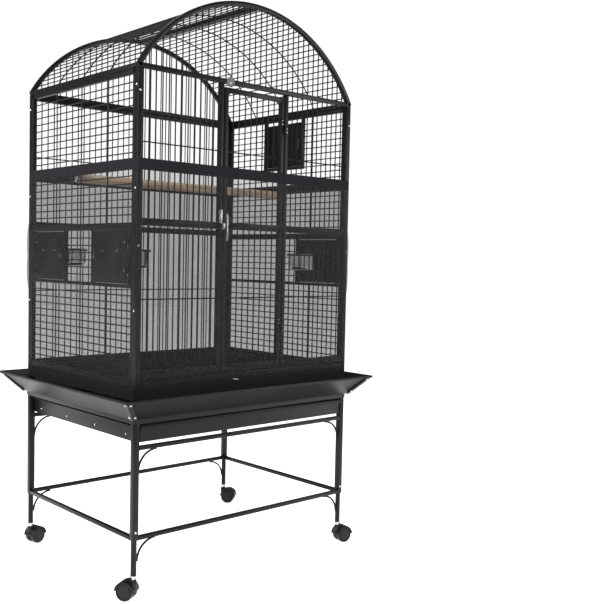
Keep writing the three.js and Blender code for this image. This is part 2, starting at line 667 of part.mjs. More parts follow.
const TRAY_HALF = POST_IN_X - 2.5;
{
  const front = FRONT + 2;
  const back = POST_IN_Y - 4;
  const top = TRAY_TOP_Z;
  const pan = box(-TRAY_HALF, TRAY_HALF, front, back, TRAY_Z, top).subtract(
    box(-TRAY_HALF + SHEET, TRAY_HALF - SHEET, front + SHEET, back - SHEET, TRAY_Z + SHEET, top + 1));
  const lip = box(-TRAY_HALF, TRAY_HALF, front - 4, front + SHEET, top - TRAY_FRONT_LIP, top + 2);
  add('tray', pan.add(lip), sheetCoat);
}

for (const [side, s] of SIDES) {
  const end = POST_IN_Y - FIT;
  const web = TRAY_HALF + 4;
  const flangeTop = TRAY_Z - FIT;
  add(`tray_slide_${side}`, join([
    box(s * web, s * (web + SHEET), -end, end, flangeTop - SHEET, TRAY_TOP_Z + 2),
    box(s * (web + SHEET - SLIDE_FLANGE), s * (web + SHEET), -end, end, flangeTop - SHEET, flangeTop),
    box(s * web, s * (HALF_W - 2), -end, end, TRAY_TOP_Z + 0.5, TRAY_TOP_Z + 2),
  ]), powderCoat);
}

// ---- seed guards: one folded sheet a side, mitred at the corners -------------------------
{
  const out = (t) => GUARD_FOOT_OUT + (GUARD_OUT - GUARD_FOOT_OUT) * t;
  const up = (t) => STAND_TOP_Z + 1 + (GUARD_TIP_Z - STAND_TOP_Z - 1) * t;
  const thick = SHEET * Math.SQRT2;
  const lowZ = STAND_TOP_Z - GUARD_FLANGE;
  const profile = [[FIT, lowZ], [FIT + SHEET, lowZ], [FIT + SHEET, STAND_TOP_Z - SHEET],
    [out(0) + SHEET / 2, STAND_TOP_Z - SHEET], [out(1) + thick / 2, up(1) - thick],
    [out(1) + thick, up(1) - GUARD_HEM - thick], [out(1) + thick + SHEET, up(1) - GUARD_HEM - thick],
    [out(1) + thick + SHEET, up(1)], [out(1), up(1)], [out(0), STAND_TOP_Z], [FIT, STAND_TOP_Z]];
  // the sheet lies along X against a wall at y = -reach, cut at 45 degrees at each end
  const sheet = (half, reach) => {
    const run = new THREE.ExtrudeGeometry(outline(profile), { depth: 1, bevelEnabled: false });
    const at = run.attributes.position;
    for (let i = 0; i < at.count; i += 1) {
      const [o, z, end] = [at.getX(i), at.getY(i), at.getZ(i) > 0.5 ? -1 : 1];
      at.setXYZ(i, end * (half + o - FIT * Math.SQRT2), -(reach + o), z);
    }
    return run;
  };
  const turns = [['front', 0, HALF_W, HALF_D], ['right', Math.PI / 2, HALF_D, HALF_W],
    ['rear', Math.PI, HALF_W, HALF_D], ['left', -Math.PI / 2, HALF_D, HALF_W]];
  for (const [name, angle, half, reach] of turns) {
    const guard = sheet(half, reach);
    guard.rotateZ(angle);
    add(`seed_guard_${name}`, solid(guard), sheetCoat);
  }
}

// ---- stand: four legs, a low ring, upper rails and casters -------------------------------
// a quarter-round brace from the leg to the rail over it, in the plane of the front or rear
function gusset(x, y, s, legFace, railUnder) {
  const centre = [x + s * (legFace + GUSSET_REACH), railUnder - GUSSET_REACH];
  const points = Array.from({ length: 7 }, (_, i) => {
    const a = (Math.PI / 2) * (i / 6);
    return new THREE.Vector3(centre[0] - s * (GUSSET_REACH + 1) * Math.cos(a), y,
      centre[1] + (GUSSET_REACH - GUSSET_R - FIT) * Math.sin(a));
  });
  const section = outline(Array.from({ length: 6 }, (_, i) => {
    const a = (Math.PI * 2 * i) / 6;
    return [GUSSET_R * Math.cos(a), GUSSET_R * Math.sin(a)];
  }));
  return solid(new THREE.ExtrudeGeometry(section, {
    steps: 6, extrudePath: new THREE.CatmullRomCurve3(points), bevelEnabled: false,
  }));
}

for (const [end, e] of ENDS) {
  for (const [side, s] of SIDES) {
    const x = s * (HALF_W - POST / 2);
    const y = e * (HALF_D - POST / 2);
    const corner = `${end}_${side}`;
    const leg = join([
      box(x - POST / 2, x + POST / 2, y - POST / 2, y + POST / 2, RING_Z, STAND_TOP_Z - FIT),
      rod(STUB_R, [x, y, LEG_FOOT_Z], [x, y, RING_Z + BITE], 16),
      gusset(x, y, -s, POST / 2, TRAY_BAR_Z),
      gusset(x, y, -s, STUB_R, RING_Z),
    ]);
    add(`leg_${corner}`, leg, powderCoat);

    // caster, drawn trailing toward +X from its stem, then turned to its rest heading
    const caster = new THREE.Group();
    caster.position.set(x, y, 0);
    caster.rotation.z = THREE.MathUtils.degToRad(CASTER_HEADINGS[corner]);
    cage.add(caster);
    const axle = [CASTER_TRAIL, CASTER_WHEEL_R];
    const hoodIn = CASTER_WHEEL_R + 1.5;
    const wide = CASTER_WEB / 2 + CASTER_TREAD + 1.5;
    const tube = (r, half, sides) => rod(r, [axle[0], -half, axle[1]], [axle[0], half, axle[1]], sides);
    const shell = tube(hoodIn + CASTER_HOOD, wide, 20)
      .subtract(tube(hoodIn, wide + 1, 20))
      .intersect(box(-60, axle[0] + 60, -60, 60, axle[1] + 3, 90));
    const web = tube(CASTER_WHEEL_R - 3, CASTER_WEB / 2 - 1, 16)
      .add(box(axle[0] - 4, axle[0] + 4, -CASTER_WEB / 2 + 1, CASTER_WEB / 2 - 1,
        axle[1], axle[1] + hoodIn + 1))
      .subtract(tube(4.3, 20, 10));
    const stem = rod(7, [0, 0, axle[1] + 16], [0, 0, LEG_FOOT_Z - FIT], 12)
      .subtract(tube(hoodIn, wide + 1, 20));
    add(`caster_swivel_${corner}`, join([shell, web, stem]), blackPlastic, caster);

    // the tread is a polygon whose flats touch the floor
    const treadR = CASTER_WHEEL_R / Math.cos(Math.PI / CASTER_SIDES);
    const discs = [-1, 1].map((t) => {
      const disc = new THREE.CylinderGeometry(treadR, treadR, CASTER_TREAD, CASTER_SIDES);
      disc.rotateY(Math.PI / CASTER_SIDES);
      disc.translate(axle[0], t * (CASTER_WEB / 2 + CASTER_TREAD / 2), 0);
      disc.translate(0, 0, axle[1]);
      return solid(disc);
    });
    add(`caster_wheels_${corner}`, join([...discs, tube(4, CASTER_WEB, 10)]), blackPlastic, caster);
  }
}

const BETWEEN_X = POST_IN_X - FIT;
const BETWEEN_Y = POST_IN_Y - FIT;
const STAND_RAIL_Z = STAND_TOP_Z - RING_TUBE - STAND_RAIL_DROP;
for (const [end, e] of ENDS) {
  const outer = e * HALF_D;
  const inner = e * (HALF_D - RING_TUBE);
  const bar = (z) => box(-BETWEEN_X, BETWEEN_X, inner, outer, z, z + RING_TUBE);
  add(`low_rail_${end}`, bar(RING_Z), powderCoat);
  add(`tray_bar_${end}`, bar(TRAY_BAR_Z), powderCoat);
  add(`stand_rail_${end}`, bar(STAND_RAIL_Z), powderCoat);
}
for (const [side, s] of SIDES) {
  const bar = (z) => box(s * (HALF_W - RING_TUBE), s * HALF_W, -BETWEEN_Y, BETWEEN_Y,
    z, z + RING_TUBE);
  add(`low_rail_${side}`, bar(RING_Z), powderCoat);
  add(`stand_rail_${side}`, bar(STAND_RAIL_Z), powderCoat);
}

// ---- seed net: a stretch sleeve round the body, held by an elastic band at each end ------
function sleeve(offset, thick, low, high, bulges = []) {
  const wall = (o, lo, hi) => join([
    box(-HALF_W - o, HALF_W + o, -HALF_D - o, HALF_D + o, lo, hi),
    ...bulges.map(([xa, xb, ya, yb, za, zb]) => {
      const grow = o - offset;
      return box(xa - grow, xb + grow, ya - grow, yb + grow, za - grow, zb + grow);
    })]);
  return wall(offset + thick, low, high).subtract(wall(offset, low - 1, high + 1));
}

{
  const out = (bulge) => NET_BULGE + bulge;
  const bulges = HATCHES.filter((hatch) => hatch.cup).map(({ side: s, y, z, tall }) => {
    const xs = [s * (HALF_W - 1), s * (HALF_W + out(0))].sort((a, b) => a - b);
    return [...xs, y - HATCH_HOLE - JAMB, y + HATCH_HOLE + JAMB, z, z + tall];
  });
  const leverHalf = LEVER_LENGTH / 2 + 6;
  bulges.push([-UPRIGHT_OUT - 2, LEVER_X + LEVER_WIDE, FRONT - out(6), FRONT + 1,
    LEVER_Z - leverHalf, LEVER_Z + leverHalf + 8]);
  const hingeZ = DOOR_HINGE_Z[0];
  bulges.push([HALF_DOOR - RAIL - 2, UPRIGHT_OUT + 2, FRONT - out(0), FRONT + 1,
    hingeZ - 4, hingeZ + 2 * HINGE_KNUCKLE + 4]);
  const netLow = NET_FOOT_Z + FOOT_BAND_TALL + FIT;
  const netHigh = NET_TOP_Z - TOP_BAND_TALL - FIT;
  add('net_skirt', sleeve(FIT, NET_THICK, netLow, netHigh, bulges), netting);
  add('net_band_top', sleeve(FIT, BAND_THICK, NET_TOP_Z - TOP_BAND_TALL, NET_TOP_Z), webbing);
  add('net_band_foot', sleeve(FIT, BAND_THICK, NET_FOOT_Z, NET_FOOT_Z + FOOT_BAND_TALL), webbing);
}

export default cage;
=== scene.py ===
from math import acos, asin, cos, exp, pi, radians, sin, sqrt
import bmesh
import bpy
from mathutils import Matrix, Vector


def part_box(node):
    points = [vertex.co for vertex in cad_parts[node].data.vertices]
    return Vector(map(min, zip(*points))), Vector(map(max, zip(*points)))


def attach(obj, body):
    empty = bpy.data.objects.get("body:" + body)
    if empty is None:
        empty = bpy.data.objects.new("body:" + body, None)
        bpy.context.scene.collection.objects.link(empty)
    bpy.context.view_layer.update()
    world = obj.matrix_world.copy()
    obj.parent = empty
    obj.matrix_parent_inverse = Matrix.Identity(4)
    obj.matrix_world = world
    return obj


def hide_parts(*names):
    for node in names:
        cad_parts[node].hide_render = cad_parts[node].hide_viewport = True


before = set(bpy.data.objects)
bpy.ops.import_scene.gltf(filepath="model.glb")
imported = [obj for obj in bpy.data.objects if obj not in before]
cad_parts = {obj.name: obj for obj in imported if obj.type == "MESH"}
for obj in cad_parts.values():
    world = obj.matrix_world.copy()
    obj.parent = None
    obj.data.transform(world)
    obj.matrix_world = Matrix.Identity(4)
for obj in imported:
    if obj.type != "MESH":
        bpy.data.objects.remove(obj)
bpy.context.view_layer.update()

# ---- Legs -------------------------------------------------------------------------------
# Four 18 mm square steel tubes that neck down to a 16 mm round foot for the caster's stem.
# They are powder coated in satin charcoal, with bent-rod braces welded into the front and rear corners.
SIDES = (("left", -1), ("right", 1))
ENDS = (("front", -1), ("rear", 1))
CORNERS = [(f"{end}_{side}", s, e) for end, e in ENDS for side, s in SIDES]
POST = 0.018
FIT = 0.0003
TUBE_CORNER = 0.0017
SOFT_ANGLE = radians(40)
STUB_RADIUS = 0.008
NECK_TALL = 0.004
BITE = 0.001  # how far a rod, wire or rail runs into what it is welded to
BRACE_RADIUS = 0.0031
BRACE_REACH = 0.060
COAT_DEEP = (0.0045, 0.0045, 0.0048, 1)
COAT_LIGHT = (0.0080, 0.0080, 0.0084, 1)
COAT_GRAIN = 1300.0
COAT_ROUGHNESS = 0.36

HALF_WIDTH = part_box("roof_arch_front")[1][0]
HALF_DEPTH = -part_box("roof_arch_front")[0][1]
POST_IN_X = HALF_WIDTH - POST
POST_IN_Y = HALF_DEPTH - POST
RING_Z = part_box("low_rail_front")[0][2]
TRAY_BAR_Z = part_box("tray_bar_front")[0][2]
STAND_TOP_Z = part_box("leg_front_left")[1][2]
LEG_FOOT_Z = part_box("leg_front_left")[0][2]


def result(found):
    """The socket a node's result comes out of: the first, or the third where it mixes two colours."""
    if isinstance(found, bpy.types.Node):
        return found.outputs[2 if found.bl_idname == "ShaderNodeMix" else 0]
    return found


def add_node(tree, kind, inputs=None, **settings):
    """A shader node, its sockets set to values or joined to other nodes."""
    made = tree.nodes.new("ShaderNode" + kind)
    for key, value in settings.items():
        setattr(made, key, value)
    for key, value in (inputs or {}).items():
        value = result(value)
        if isinstance(value, bpy.types.NodeSocket):
            tree.links.new(value, made.inputs[key])
        else:
            made.inputs[key].default_value = value
    return made


def maths(tree, operation, *values):
    return add_node(tree, "Math", dict(enumerate(values)), operation=operation)


def ranged(tree, value, **limits):
    """A value brought from one range to another, such as to_min=0.9, to_max=0.7."""
    return add_node(tree, "MapRange", {"Value": value, **{
        label.replace("_", " ").title(): limit for label, limit in limits.items()}})


def noise(tree, place, scale, detail, **more):
    return add_node(tree, "TexNoise", {"Vector": place, "Scale": scale, "Detail": detail, **more})


def deep_to_light(tree, share, given):
    """The group's two colours, blended by a share."""
    return add_node(tree, "Mix", {"Factor": share, 6: given["Deep"], 7: given["Light"]}, data_type="RGBA")


def effect_group(name, inputs, outputs):
    """An empty node group, what it is given, and a function that joins nodes to what it puts out."""
    tree = bpy.data.node_groups.new(name, "ShaderNodeTree")
    for label, value in inputs.items():
        kind = "NodeSocketColor" if isinstance(value, tuple) else "NodeSocketFloat"
        tree.interface.new_socket(label, in_out="INPUT", socket_type=kind).default_value = value
    for label in outputs:
        kind = "NodeSocketColor" if label == "Colour" else "NodeSocketFloat"
        tree.interface.new_socket(label, in_out="OUTPUT", socket_type=kind)
    given, out = tree.nodes.new("NodeGroupInput"), tree.nodes.new("NodeGroupOutput")

    def put_out(**found):
        for label, node in found.items():
            tree.links.new(result(node), out.inputs[label])

    return tree, given.outputs, put_out


def surface_group(name, grain_stretch):
    """Two colours, a roughness and a grain, all mottled: a broad drift over the piece and a fine grain."""
    tree, given, put_out = effect_group(
        name,
        {"Deep": COAT_DEEP, "Light": COAT_LIGHT, "Grain": COAT_GRAIN, "Drift": 5.0,
         "Roughness": COAT_ROUGHNESS, "Spread": 0.10},
        ("Colour", "Roughness", "Height"))
    place = add_node(tree, "TexCoord").outputs["Object"]
    stretched = add_node(tree, "Mapping", {"Vector": place, "Scale": grain_stretch})
    grain = noise(tree, stretched, given["Grain"], 3.0)
    drift = noise(tree, place, given["Drift"], 4.0, Roughness=0.6)
    share = ranged(tree, maths(tree, "ADD", grain, drift), from_min=0.7, from_max=1.3)
    off_middle = maths(tree, "SUBTRACT", share, 0.5)
    put_out(Colour=deep_to_light(tree, share, given), Height=grain,
            Roughness=maths(tree, "MULTIPLY_ADD", off_middle, given["Spread"], given["Roughness"]))
    return tree


def surface(name, group, values, bump, **shader_values):
    """A material whose colour, roughness and bump come from one effect group."""
    material = bpy.data.materials.new(name)
    material.use_nodes = True
    tree = material.node_tree
    tree.nodes.clear()
    effect = add_node(tree, "Group", node_tree=group)
    for label, value in values.items():
        effect.inputs[label].default_value = value
    relief = add_node(tree, "Bump", {
        "Strength": bump[0], "Distance": bump[1], "Height": effect.outputs["Height"]})
    shader = add_node(tree, "BsdfPrincipled", {
        "Base Color": effect.outputs["Colour"], "Roughness": effect.outputs["Roughness"],
        "Normal": relief,
        **{label.replace("_", " "): value for label, value in shader_values.items()}})
    add_node(tree, "OutputMaterial", {"Surface": shader})
    return material


POWDER_GROUP = surface_group("powder_coat_grain", (1, 1, 1))
powder_coat = surface("frame_powder_coat", POWDER_GROUP, {}, (0.25, 0.0002), Specular_IOR_Level=0.20)


def tube(bm, low, high, corner=TUBE_CORNER):
    """A straight tube or bar between two corners, with its edges rounded."""
    ends = [sorted(pair) for pair in zip(low, high)]
    size = Vector([b - a for a, b in ends])
    middle = Vector([(a + b) / 2 for a, b in ends])
    made = bmesh.ops.create_cube(bm, size=1, matrix=Matrix.LocRotScale(middle, None, size))
    edges = {edge for vert in made["verts"] for edge in vert.link_edges}
    bmesh.ops.bevel(bm, geom=list(edges), offset=corner, segments=2, profile=0.5,
                    affect="EDGES", material=-1, clamp_overlap=True)


def rod(bm, start, end, radius, sides=10, end_radius=None):
    """A round rod, wire or cone between two points."""
    along = Vector(end) - Vector(start)
    place = Matrix.LocRotScale((Vector(start) + Vector(end)) / 2, along.to_track_quat("Z", "Y"), None)
    bmesh.ops.create_cone(bm, cap_ends=True, segments=sides, radius1=radius,
                          radius2=radius if end_radius is None else end_radius,
                          depth=along.length, matrix=place)


def bent_rod(bm, centre, start, axis, angle, radius, steps, sides=8):
    """A round rod bent in an arc from start, about an axis through centre."""
    centre, start, axis = Vector(centre), Vector(start), Vector(axis)
    heading = axis.cross(start - centre)
    ring = bmesh.ops.create_circle(
        bm, cap_ends=True, segments=sides, radius=radius,
        matrix=Matrix.LocRotScale(start, heading.to_track_quat("Z", "Y"), None))
    face = ring["verts"][0].link_faces[0]
    bmesh.ops.spin(bm, geom=[face, *face.edges, *face.verts], cent=centre, axis=axis,
                   angle=angle, steps=steps, use_merge=False, use_duplicate=False)


def finished(bm, name, body, material, slot, *nodes):
    """Closes a shape up as a named piece that rides on a body and stands for its CAD nodes."""
    bmesh.ops.recalc_face_normals(bm, faces=bm.faces)
    for face in bm.faces:
        face.smooth = True
    for edge in bm.edges:
        edge.smooth = edge.calc_face_angle(0) < SOFT_ANGLE
    mesh = bpy.data.meshes.new(name)
    bm.to_mesh(mesh)
    bm.free()
    mesh.materials.append(material)
    piece = bpy.data.objects.new(name, mesh)
    bpy.context.scene.collection.objects.link(piece)
    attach(piece, body)
    if nodes:
        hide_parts(*nodes)
    return piece


for corner, s, e in CORNERS:
    x, y = s * (HALF_WIDTH - POST / 2), e * (HALF_DEPTH - POST / 2)
    leg = bmesh.new()
    tube(leg, (s * POST_IN_X, e * POST_IN_Y, RING_Z), (s * HALF_WIDTH, e * HALF_DEPTH, STAND_TOP_Z))
    rod(leg, (x, y, LEG_FOOT_Z), (x, y, RING_Z + BITE), STUB_RADIUS, 24)
    rod(leg, (x, y, RING_Z - NECK_TALL), (x, y, RING_Z + BITE / 2), STUB_RADIUS, 24, POST / 2)
    for leg_face, under in ((POST / 2, TRAY_BAR_Z), (STUB_RADIUS, RING_Z)):
        centre = (x - s * (leg_face + BRACE_REACH), y, under - BRACE_REACH)
        start = (centre[0] + s * (BRACE_REACH - BRACE_RADIUS + BITE), y, centre[2])
        bent_rod(leg, centre, start, (0, -s, 0), pi / 2, BRACE_RADIUS, 12)
    finished(leg, f"{corner}_leg", "frame", powder_coat, "frame_coat", f"leg_{corner}")

# ---- Stand rails ------------------------------------------------------------------------
# A low ring, an upper ring and two bars under the tray, in 12 mm square tube.
# Each is welded between the legs and coated with them; a weld bead rounds every joint.
RAIL_NODES = [f"{rail}_{place}" for rail in ("low_rail", "stand_rail")
              for place in ("front", "rear", "left", "right")] + ["tray_bar_front", "tray_bar_rear"]
BEAD = 0.0022
STOP_OFF = 0.0009
STOP_THICK = 0.0018
STOP_DROP = 0.010

for name in RAIL_NODES:
    low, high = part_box(name)
    rail = bmesh.new()
    tube(rail, low, high)
    run = 0 if high[0] - low[0] > high[1] - low[1] else 1
    for end, step in ((low[run], 1), (high[run], -1)):
        bead_low, bead_high = list(low), list(high)
        bead_low[run] = end - step * FIT
        bead_high[run] = end + step * BEAD
        for axis in range(3):
            if axis != run:
                bead_low[axis] -= BEAD / 4
                bead_high[axis] += BEAD / 4
        tube(rail, bead_low, bead_high, BEAD * 0.95)
    if name == "stand_rail_rear":
        # a thin strip that hangs from the rail stops the tray
        tube(rail, (-POST_IN_X, POST_IN_Y - STOP_OFF - STOP_THICK, low[2] - STOP_DROP),
             (POST_IN_X, POST_IN_Y - STOP_OFF, high[2] - 0.004), 0.0004)
    finished(rail, f"{name}_tube", "frame", powder_coat, "frame_coat", name)

# ---- Casters ----------------------------------------------------------------------------
# Twin-wheel swivel casters in black nylon: a hooded body turns on a plated stem and carries
# two wheels on one axle. Each wheel has a rounded tread and a dished hub cap pressed in.
WHEEL_RADIUS = 0.025
TREAD_WIDE = 0.015
WEB_WIDE = 0.009
TRAIL = 0.020
HOOD_THICK = 0.003
HOOD_GAP = 0.0015
HOOD_SWEEP = radians(173)
HOOD_LEAN = radians(3.5)
HEADINGS = {"front_left": 121, "rear_left": 15, "rear_right": -52, "front_right": -10}
NYLON = (0.0045, 0.0045, 0.0048, 1)
NYLON_WORN = (0.0100, 0.0100, 0.0105, 1)
ZINC = (0.42, 0.43, 0.45, 1)
ZINC_LIGHT = (0.72, 0.73, 0.75, 1)

NYLON_GROUP = surface_group("nylon_grain", (1, 1, 1))
nylon = surface("caster_nylon", NYLON_GROUP,
                {"Deep": NYLON, "Light": NYLON_WORN, "Grain": 700.0, "Drift": 30.0, "Roughness": 0.34},
                (0.18, 0.0002), Specular_IOR_Level=0.3)
hub_nylon = surface("hub_cap_nylon", NYLON_GROUP,
                    {"Deep": NYLON_WORN, "Light": (0.0110, 0.0110, 0.0115, 1), "Grain": 900.0,
                     "Drift": 40.0, "Roughness": 0.42}, (0.15, 0.0002), Specular_IOR_Level=0.25)
PLATED_GROUP = surface_group("plated_steel_grain", (1, 1, 6))
zinc_plate = surface("zinc_plate", PLATED_GROUP,
                     {"Deep": ZINC, "Light": ZINC_LIGHT, "Grain": 500.0, "Drift": 60.0,
                      "Roughness": 0.26, "Spread": 0.16}, (0.10, 0.0001), Metallic=1.0)


def turned(bm, outline, place, steps=32):
    """A shape turned on a lathe: radius and height pairs spun round local Z, then put in place."""
    before = set(bm.verts)
    verts = [bm.verts.new((radius, 0, height)) for radius, height in outline]
    edges = [bm.edges.new(pair) for pair in zip(verts, verts[1:])]
    bmesh.ops.spin(bm, geom=verts + edges, cent=(0, 0, 0), axis=(0, 0, 1), angle=2 * pi,
                   steps=steps, use_merge=True, use_duplicate=False)
    made = [vert for vert in bm.verts if vert not in before]
    bmesh.ops.remove_doubles(bm, verts=made, dist=1e-6)
    made = [vert for vert in bm.verts if vert not in before]
    bmesh.ops.transform(bm, matrix=place, verts=made)


for corner, heading in HEADINGS.items():
    x = (-1 if "left" in corner else 1) * (HALF_WIDTH - POST / 2)
    y = (-1 if "front" in corner else 1) * (HALF_DEPTH - POST / 2)
    turn = Matrix.Translation((x, y, 0)) @ Matrix.Rotation(radians(heading), 4, "Z")
    across = turn @ Matrix.Translation((TRAIL, 0, WHEEL_RADIUS)) @ Matrix.Rotation(-pi / 2, 4, "X")
    wide = WEB_WIDE / 2 + TREAD_WIDE + HOOD_GAP

    # the hood: an arc of shell over the wheels, spun about the axle and closed at its ends
    hood = bmesh.new()
    hood_in = WHEEL_RADIUS + HOOD_GAP
    section = [(hood_in, wide), (hood_in, -wide), (hood_in + HOOD_THICK - 0.0007, -wide),
               (hood_in + HOOD_THICK, -wide + 0.003), (hood_in + HOOD_THICK, wide - 0.003),
               (hood_in + HOOD_THICK - 0.0007, wide)]
    flat = hood.faces.new([hood.verts.new((radius, 0, height)) for radius, height in section])
    bmesh.ops.spin(hood, geom=[flat, *flat.edges, *flat.verts], cent=(0, 0, 0), axis=(0, 0, 1),
                   angle=-HOOD_SWEEP, steps=28, use_merge=False, use_duplicate=False)
    bmesh.ops.rotate(hood, verts=hood.verts, cent=(0, 0, 0),
                     matrix=Matrix.Rotation(-HOOD_LEAN, 3, "Z"))
    for t in (-1, 1):
        bmesh.ops.create_cone(hood, cap_ends=True, segments=32, radius1=WHEEL_RADIUS - 0.003,
                              radius2=WHEEL_RADIUS - 0.0035, depth=WEB_WIDE / 2 - 0.001,
                              matrix=Matrix.Translation((0, 0, t * (WEB_WIDE / 4 - 0.0005)))
                              @ Matrix.Rotation(0 if t > 0 else pi, 4, "X"))
    bmesh.ops.transform(hood, matrix=across, verts=hood.verts)
    top = WHEEL_RADIUS + hood_in
    neck = [(0, top - 0.013), (0.0105, top - 0.013), (0.0105, top - 0.004), (0.0095, top + 0.001),
            (0.0085, top + 0.006), (0.0078, top + 0.0065), (0, top + 0.0065)]
    turned(hood, neck, turn, 28)
    finished(hood, f"{corner}_caster_hood", f"caster_swivel_{corner}", nylon, "caster_plastic",
             f"caster_swivel_{corner}")

    stem = bmesh.new()
    stem_top = LEG_FOOT_Z - FIT
    turned(stem, [(0, top + 0.004), (0.0055, top + 0.004), (0.0055, stem_top - 0.007),
                  (0.0088, stem_top - 0.006), (0.0092, stem_top - 0.0055), (0.0092, stem_top - 0.0015),
                  (0.0088, stem_top - 0.001), (0.006, stem_top), (0, stem_top)], turn, 28)
    finished(stem, f"{corner}_caster_stem", f"caster_swivel_{corner}", zinc_plate, "latch_chrome")

    wheels = bmesh.new()
    caps = bmesh.new()
    for t in (-1, 1):
        lay = across if t > 0 else across @ Matrix.Rotation(pi, 4, "X")
        inner, outer = WEB_WIDE / 2, WEB_WIDE / 2 + TREAD_WIDE
        rim = WHEEL_RADIUS
        turned(wheels, [(0.0042, inner), (rim - 0.004, inner), (rim - 0.0015, inner + 0.0004),
                        (rim - 0.0004, inner + 0.0015), (rim, inner + 0.003), (rim, outer - 0.003),
                        (rim - 0.0004, outer - 0.0015), (rim - 0.0015, outer - 0.0004),
                        (rim - 0.0035, outer), (rim - 0.0045, outer - 0.0002),
                        (rim - 0.0052, outer - 0.0018), (0.0042, outer - 0.0018)], lay, 48)
        turned(caps, [(0, outer + 0.0002), (0.0045, outer + 0.0002), (0.0062, outer - 0.0004),
                      (0.0070, outer - 0.0004), (0.0085, outer - 0.0002), (rim - 0.0085, outer - 0.0001),
                      (rim - 0.0066, outer - 0.0003), (rim - 0.0058, outer - 0.0013),
                      (rim - 0.0056, outer - 0.0017), (0, outer - 0.0017)], lay, 48)
    finished(wheels, f"{corner}_caster_treads", f"caster_wheels_{corner}", nylon, "caster_plastic",
             f"caster_wheels_{corner}")
    finished(caps, f"{corner}_caster_hub_caps", f"caster_wheels_{corner}", hub_nylon, "caster_plastic")

# ---- Litter tray and its slides ---------------------------------------------------------
# A folded sheet-steel tray with a rolled front lip, which hangs on two folded slides.
# Both are powder coated a little smoother than the tube; pan-head screws hold the slides.
SHEET = 0.0015
SHEET_DEEP = (0.0045, 0.0045, 0.0048, 1)
SHEET_LIGHT = (0.0085, 0.0085, 0.0090, 1)
SCREW_RADIUS = 0.0036
SLIDE_GAP = 0.004
SLIDE_SCREWS = (0.08, 0.36, 0.64, 0.92)
SLIDE_SCREW_UP = 0.016
SLIDE_SCREW_IN = 0.008
LEG_BOLT_UP = 0.023
SHEET_FOLD = 0.0005

sheet_coat = surface("sheet_powder_coat", POWDER_GROUP,
                     {"Deep": SHEET_DEEP, "Light": SHEET_LIGHT, "Grain": 1500.0, "Drift": 3.0,
                      "Roughness": 0.38, "Spread": 0.08}, (0.22, 0.0002), Specular_IOR_Level=0.18)


def folded(node, fold, sharp=radians(50), segments=2):
    """A copy of a sheet-metal CAD node with its faces joined and its folds and edges rounded."""
    bm = bmesh.new()
    bm.from_mesh(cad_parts[node].data)
    bmesh.ops.remove_doubles(bm, verts=bm.verts, dist=2e-5)
    bmesh.ops.dissolve_limit(bm, angle_limit=radians(0.5), verts=bm.verts, edges=bm.edges)
    edges = [edge for edge in bm.edges if edge.calc_face_angle(0) > sharp]
    bmesh.ops.bevel(bm, geom=edges, offset=fold, segments=segments, profile=0.5,
                    affect="EDGES", material=-1, clamp_overlap=True)
    return bm


def screw(bm, place, out, radius=SCREW_RADIUS):
    """A pan-head screw with a sunk socket, its head standing out along out."""
    facing = Matrix.LocRotScale(Vector(place), Vector(out).to_track_quat("Z", "Y"), None)
    tall = radius * 0.62
    turned(bm, [(0, tall * 0.55), (radius * 0.34, tall * 0.55), (radius * 0.38, tall),
                (radius * 0.62, tall * 0.93), (radius * 0.88, tall * 0.62), (radius, tall * 0.2),
                (radius, -0.0008), (0, -0.0008)], facing, 14)


finished(folded("tray", SHEET_FOLD * 1.2), "litter_tray", "tray", sheet_coat, "sheet_metal", "tray")
slide_screws = bmesh.new()
for side, s in SIDES:
    node = f"tray_slide_{side}"
    finished(folded(node, SHEET_FOLD), f"{side}_tray_slide", "frame", sheet_coat, "frame_coat", node)
    low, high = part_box(node)
    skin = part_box("tray")[1][0] + SLIDE_GAP + SHEET
    for share in SLIDE_SCREWS:
        y = low[1] + share * (high[1] - low[1])
        screw(slide_screws, (s * (skin + 0.0001), y, low[2] + SLIDE_SCREW_UP), (s, 0, 0), 0.0030)
        screw(slide_screws, (s * (skin - SLIDE_SCREW_IN), y, low[2] - 0.0001), (0, 0, -1), 0.0038)
finished(slide_screws, "tray_slide_screws", "frame", zinc_plate, "latch_chrome")
leg_bolts = bmesh.new()
for corner, s, e in CORNERS:
    screw(leg_bolts, (s * (HALF_WIDTH - POST / 2), e * HALF_DEPTH, RING_Z + LEG_BOLT_UP), (0, e, 0), 0.0040)
finished(leg_bolts, "leg_bolts", "frame", zinc_plate, "latch_chrome")

# ---- Seed guards ------------------------------------------------------------------------
# Four folded sheets that slope out from the base to catch seed, each with a turned-down hem.
# They meet in mitred corners, which a corner strap and two bright screws a side hold shut.
for side in ("front", "rear", "left", "right"):
    node = f"seed_guard_{side}"
    finished(folded(node, SHEET_FOLD, radians(20)), f"{side}_seed_guard", "frame", sheet_coat,
             "sheet_metal", node)

GUARD_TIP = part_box("seed_guard_front")[0]
GUARD_TOP_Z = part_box("seed_guard_front")[1][2]
GUARD_RUN = -GUARD_TIP[1] - HALF_DEPTH
GUARD_FOOT_RUN = 0.0085
STRAP_WIDE = 0.016
STRAP_SCREWS = (0.16, 0.86)
STRAP_THICK = 0.0012
STRAP_DROP = Vector((0, 0, -STRAP_THICK / 2))


def plate(bm, outline, through):
    """A flat plate: its outline filled with one face, and drawn through by its thickness."""
    face = bm.faces.new([bm.verts.new(place) for place in outline])
    drawn = bmesh.ops.extrude_face_region(bm, geom=[face])["geom"]
    bmesh.ops.translate(bm, vec=through, verts=[v for v in drawn if isinstance(v, bmesh.types.BMVert)])


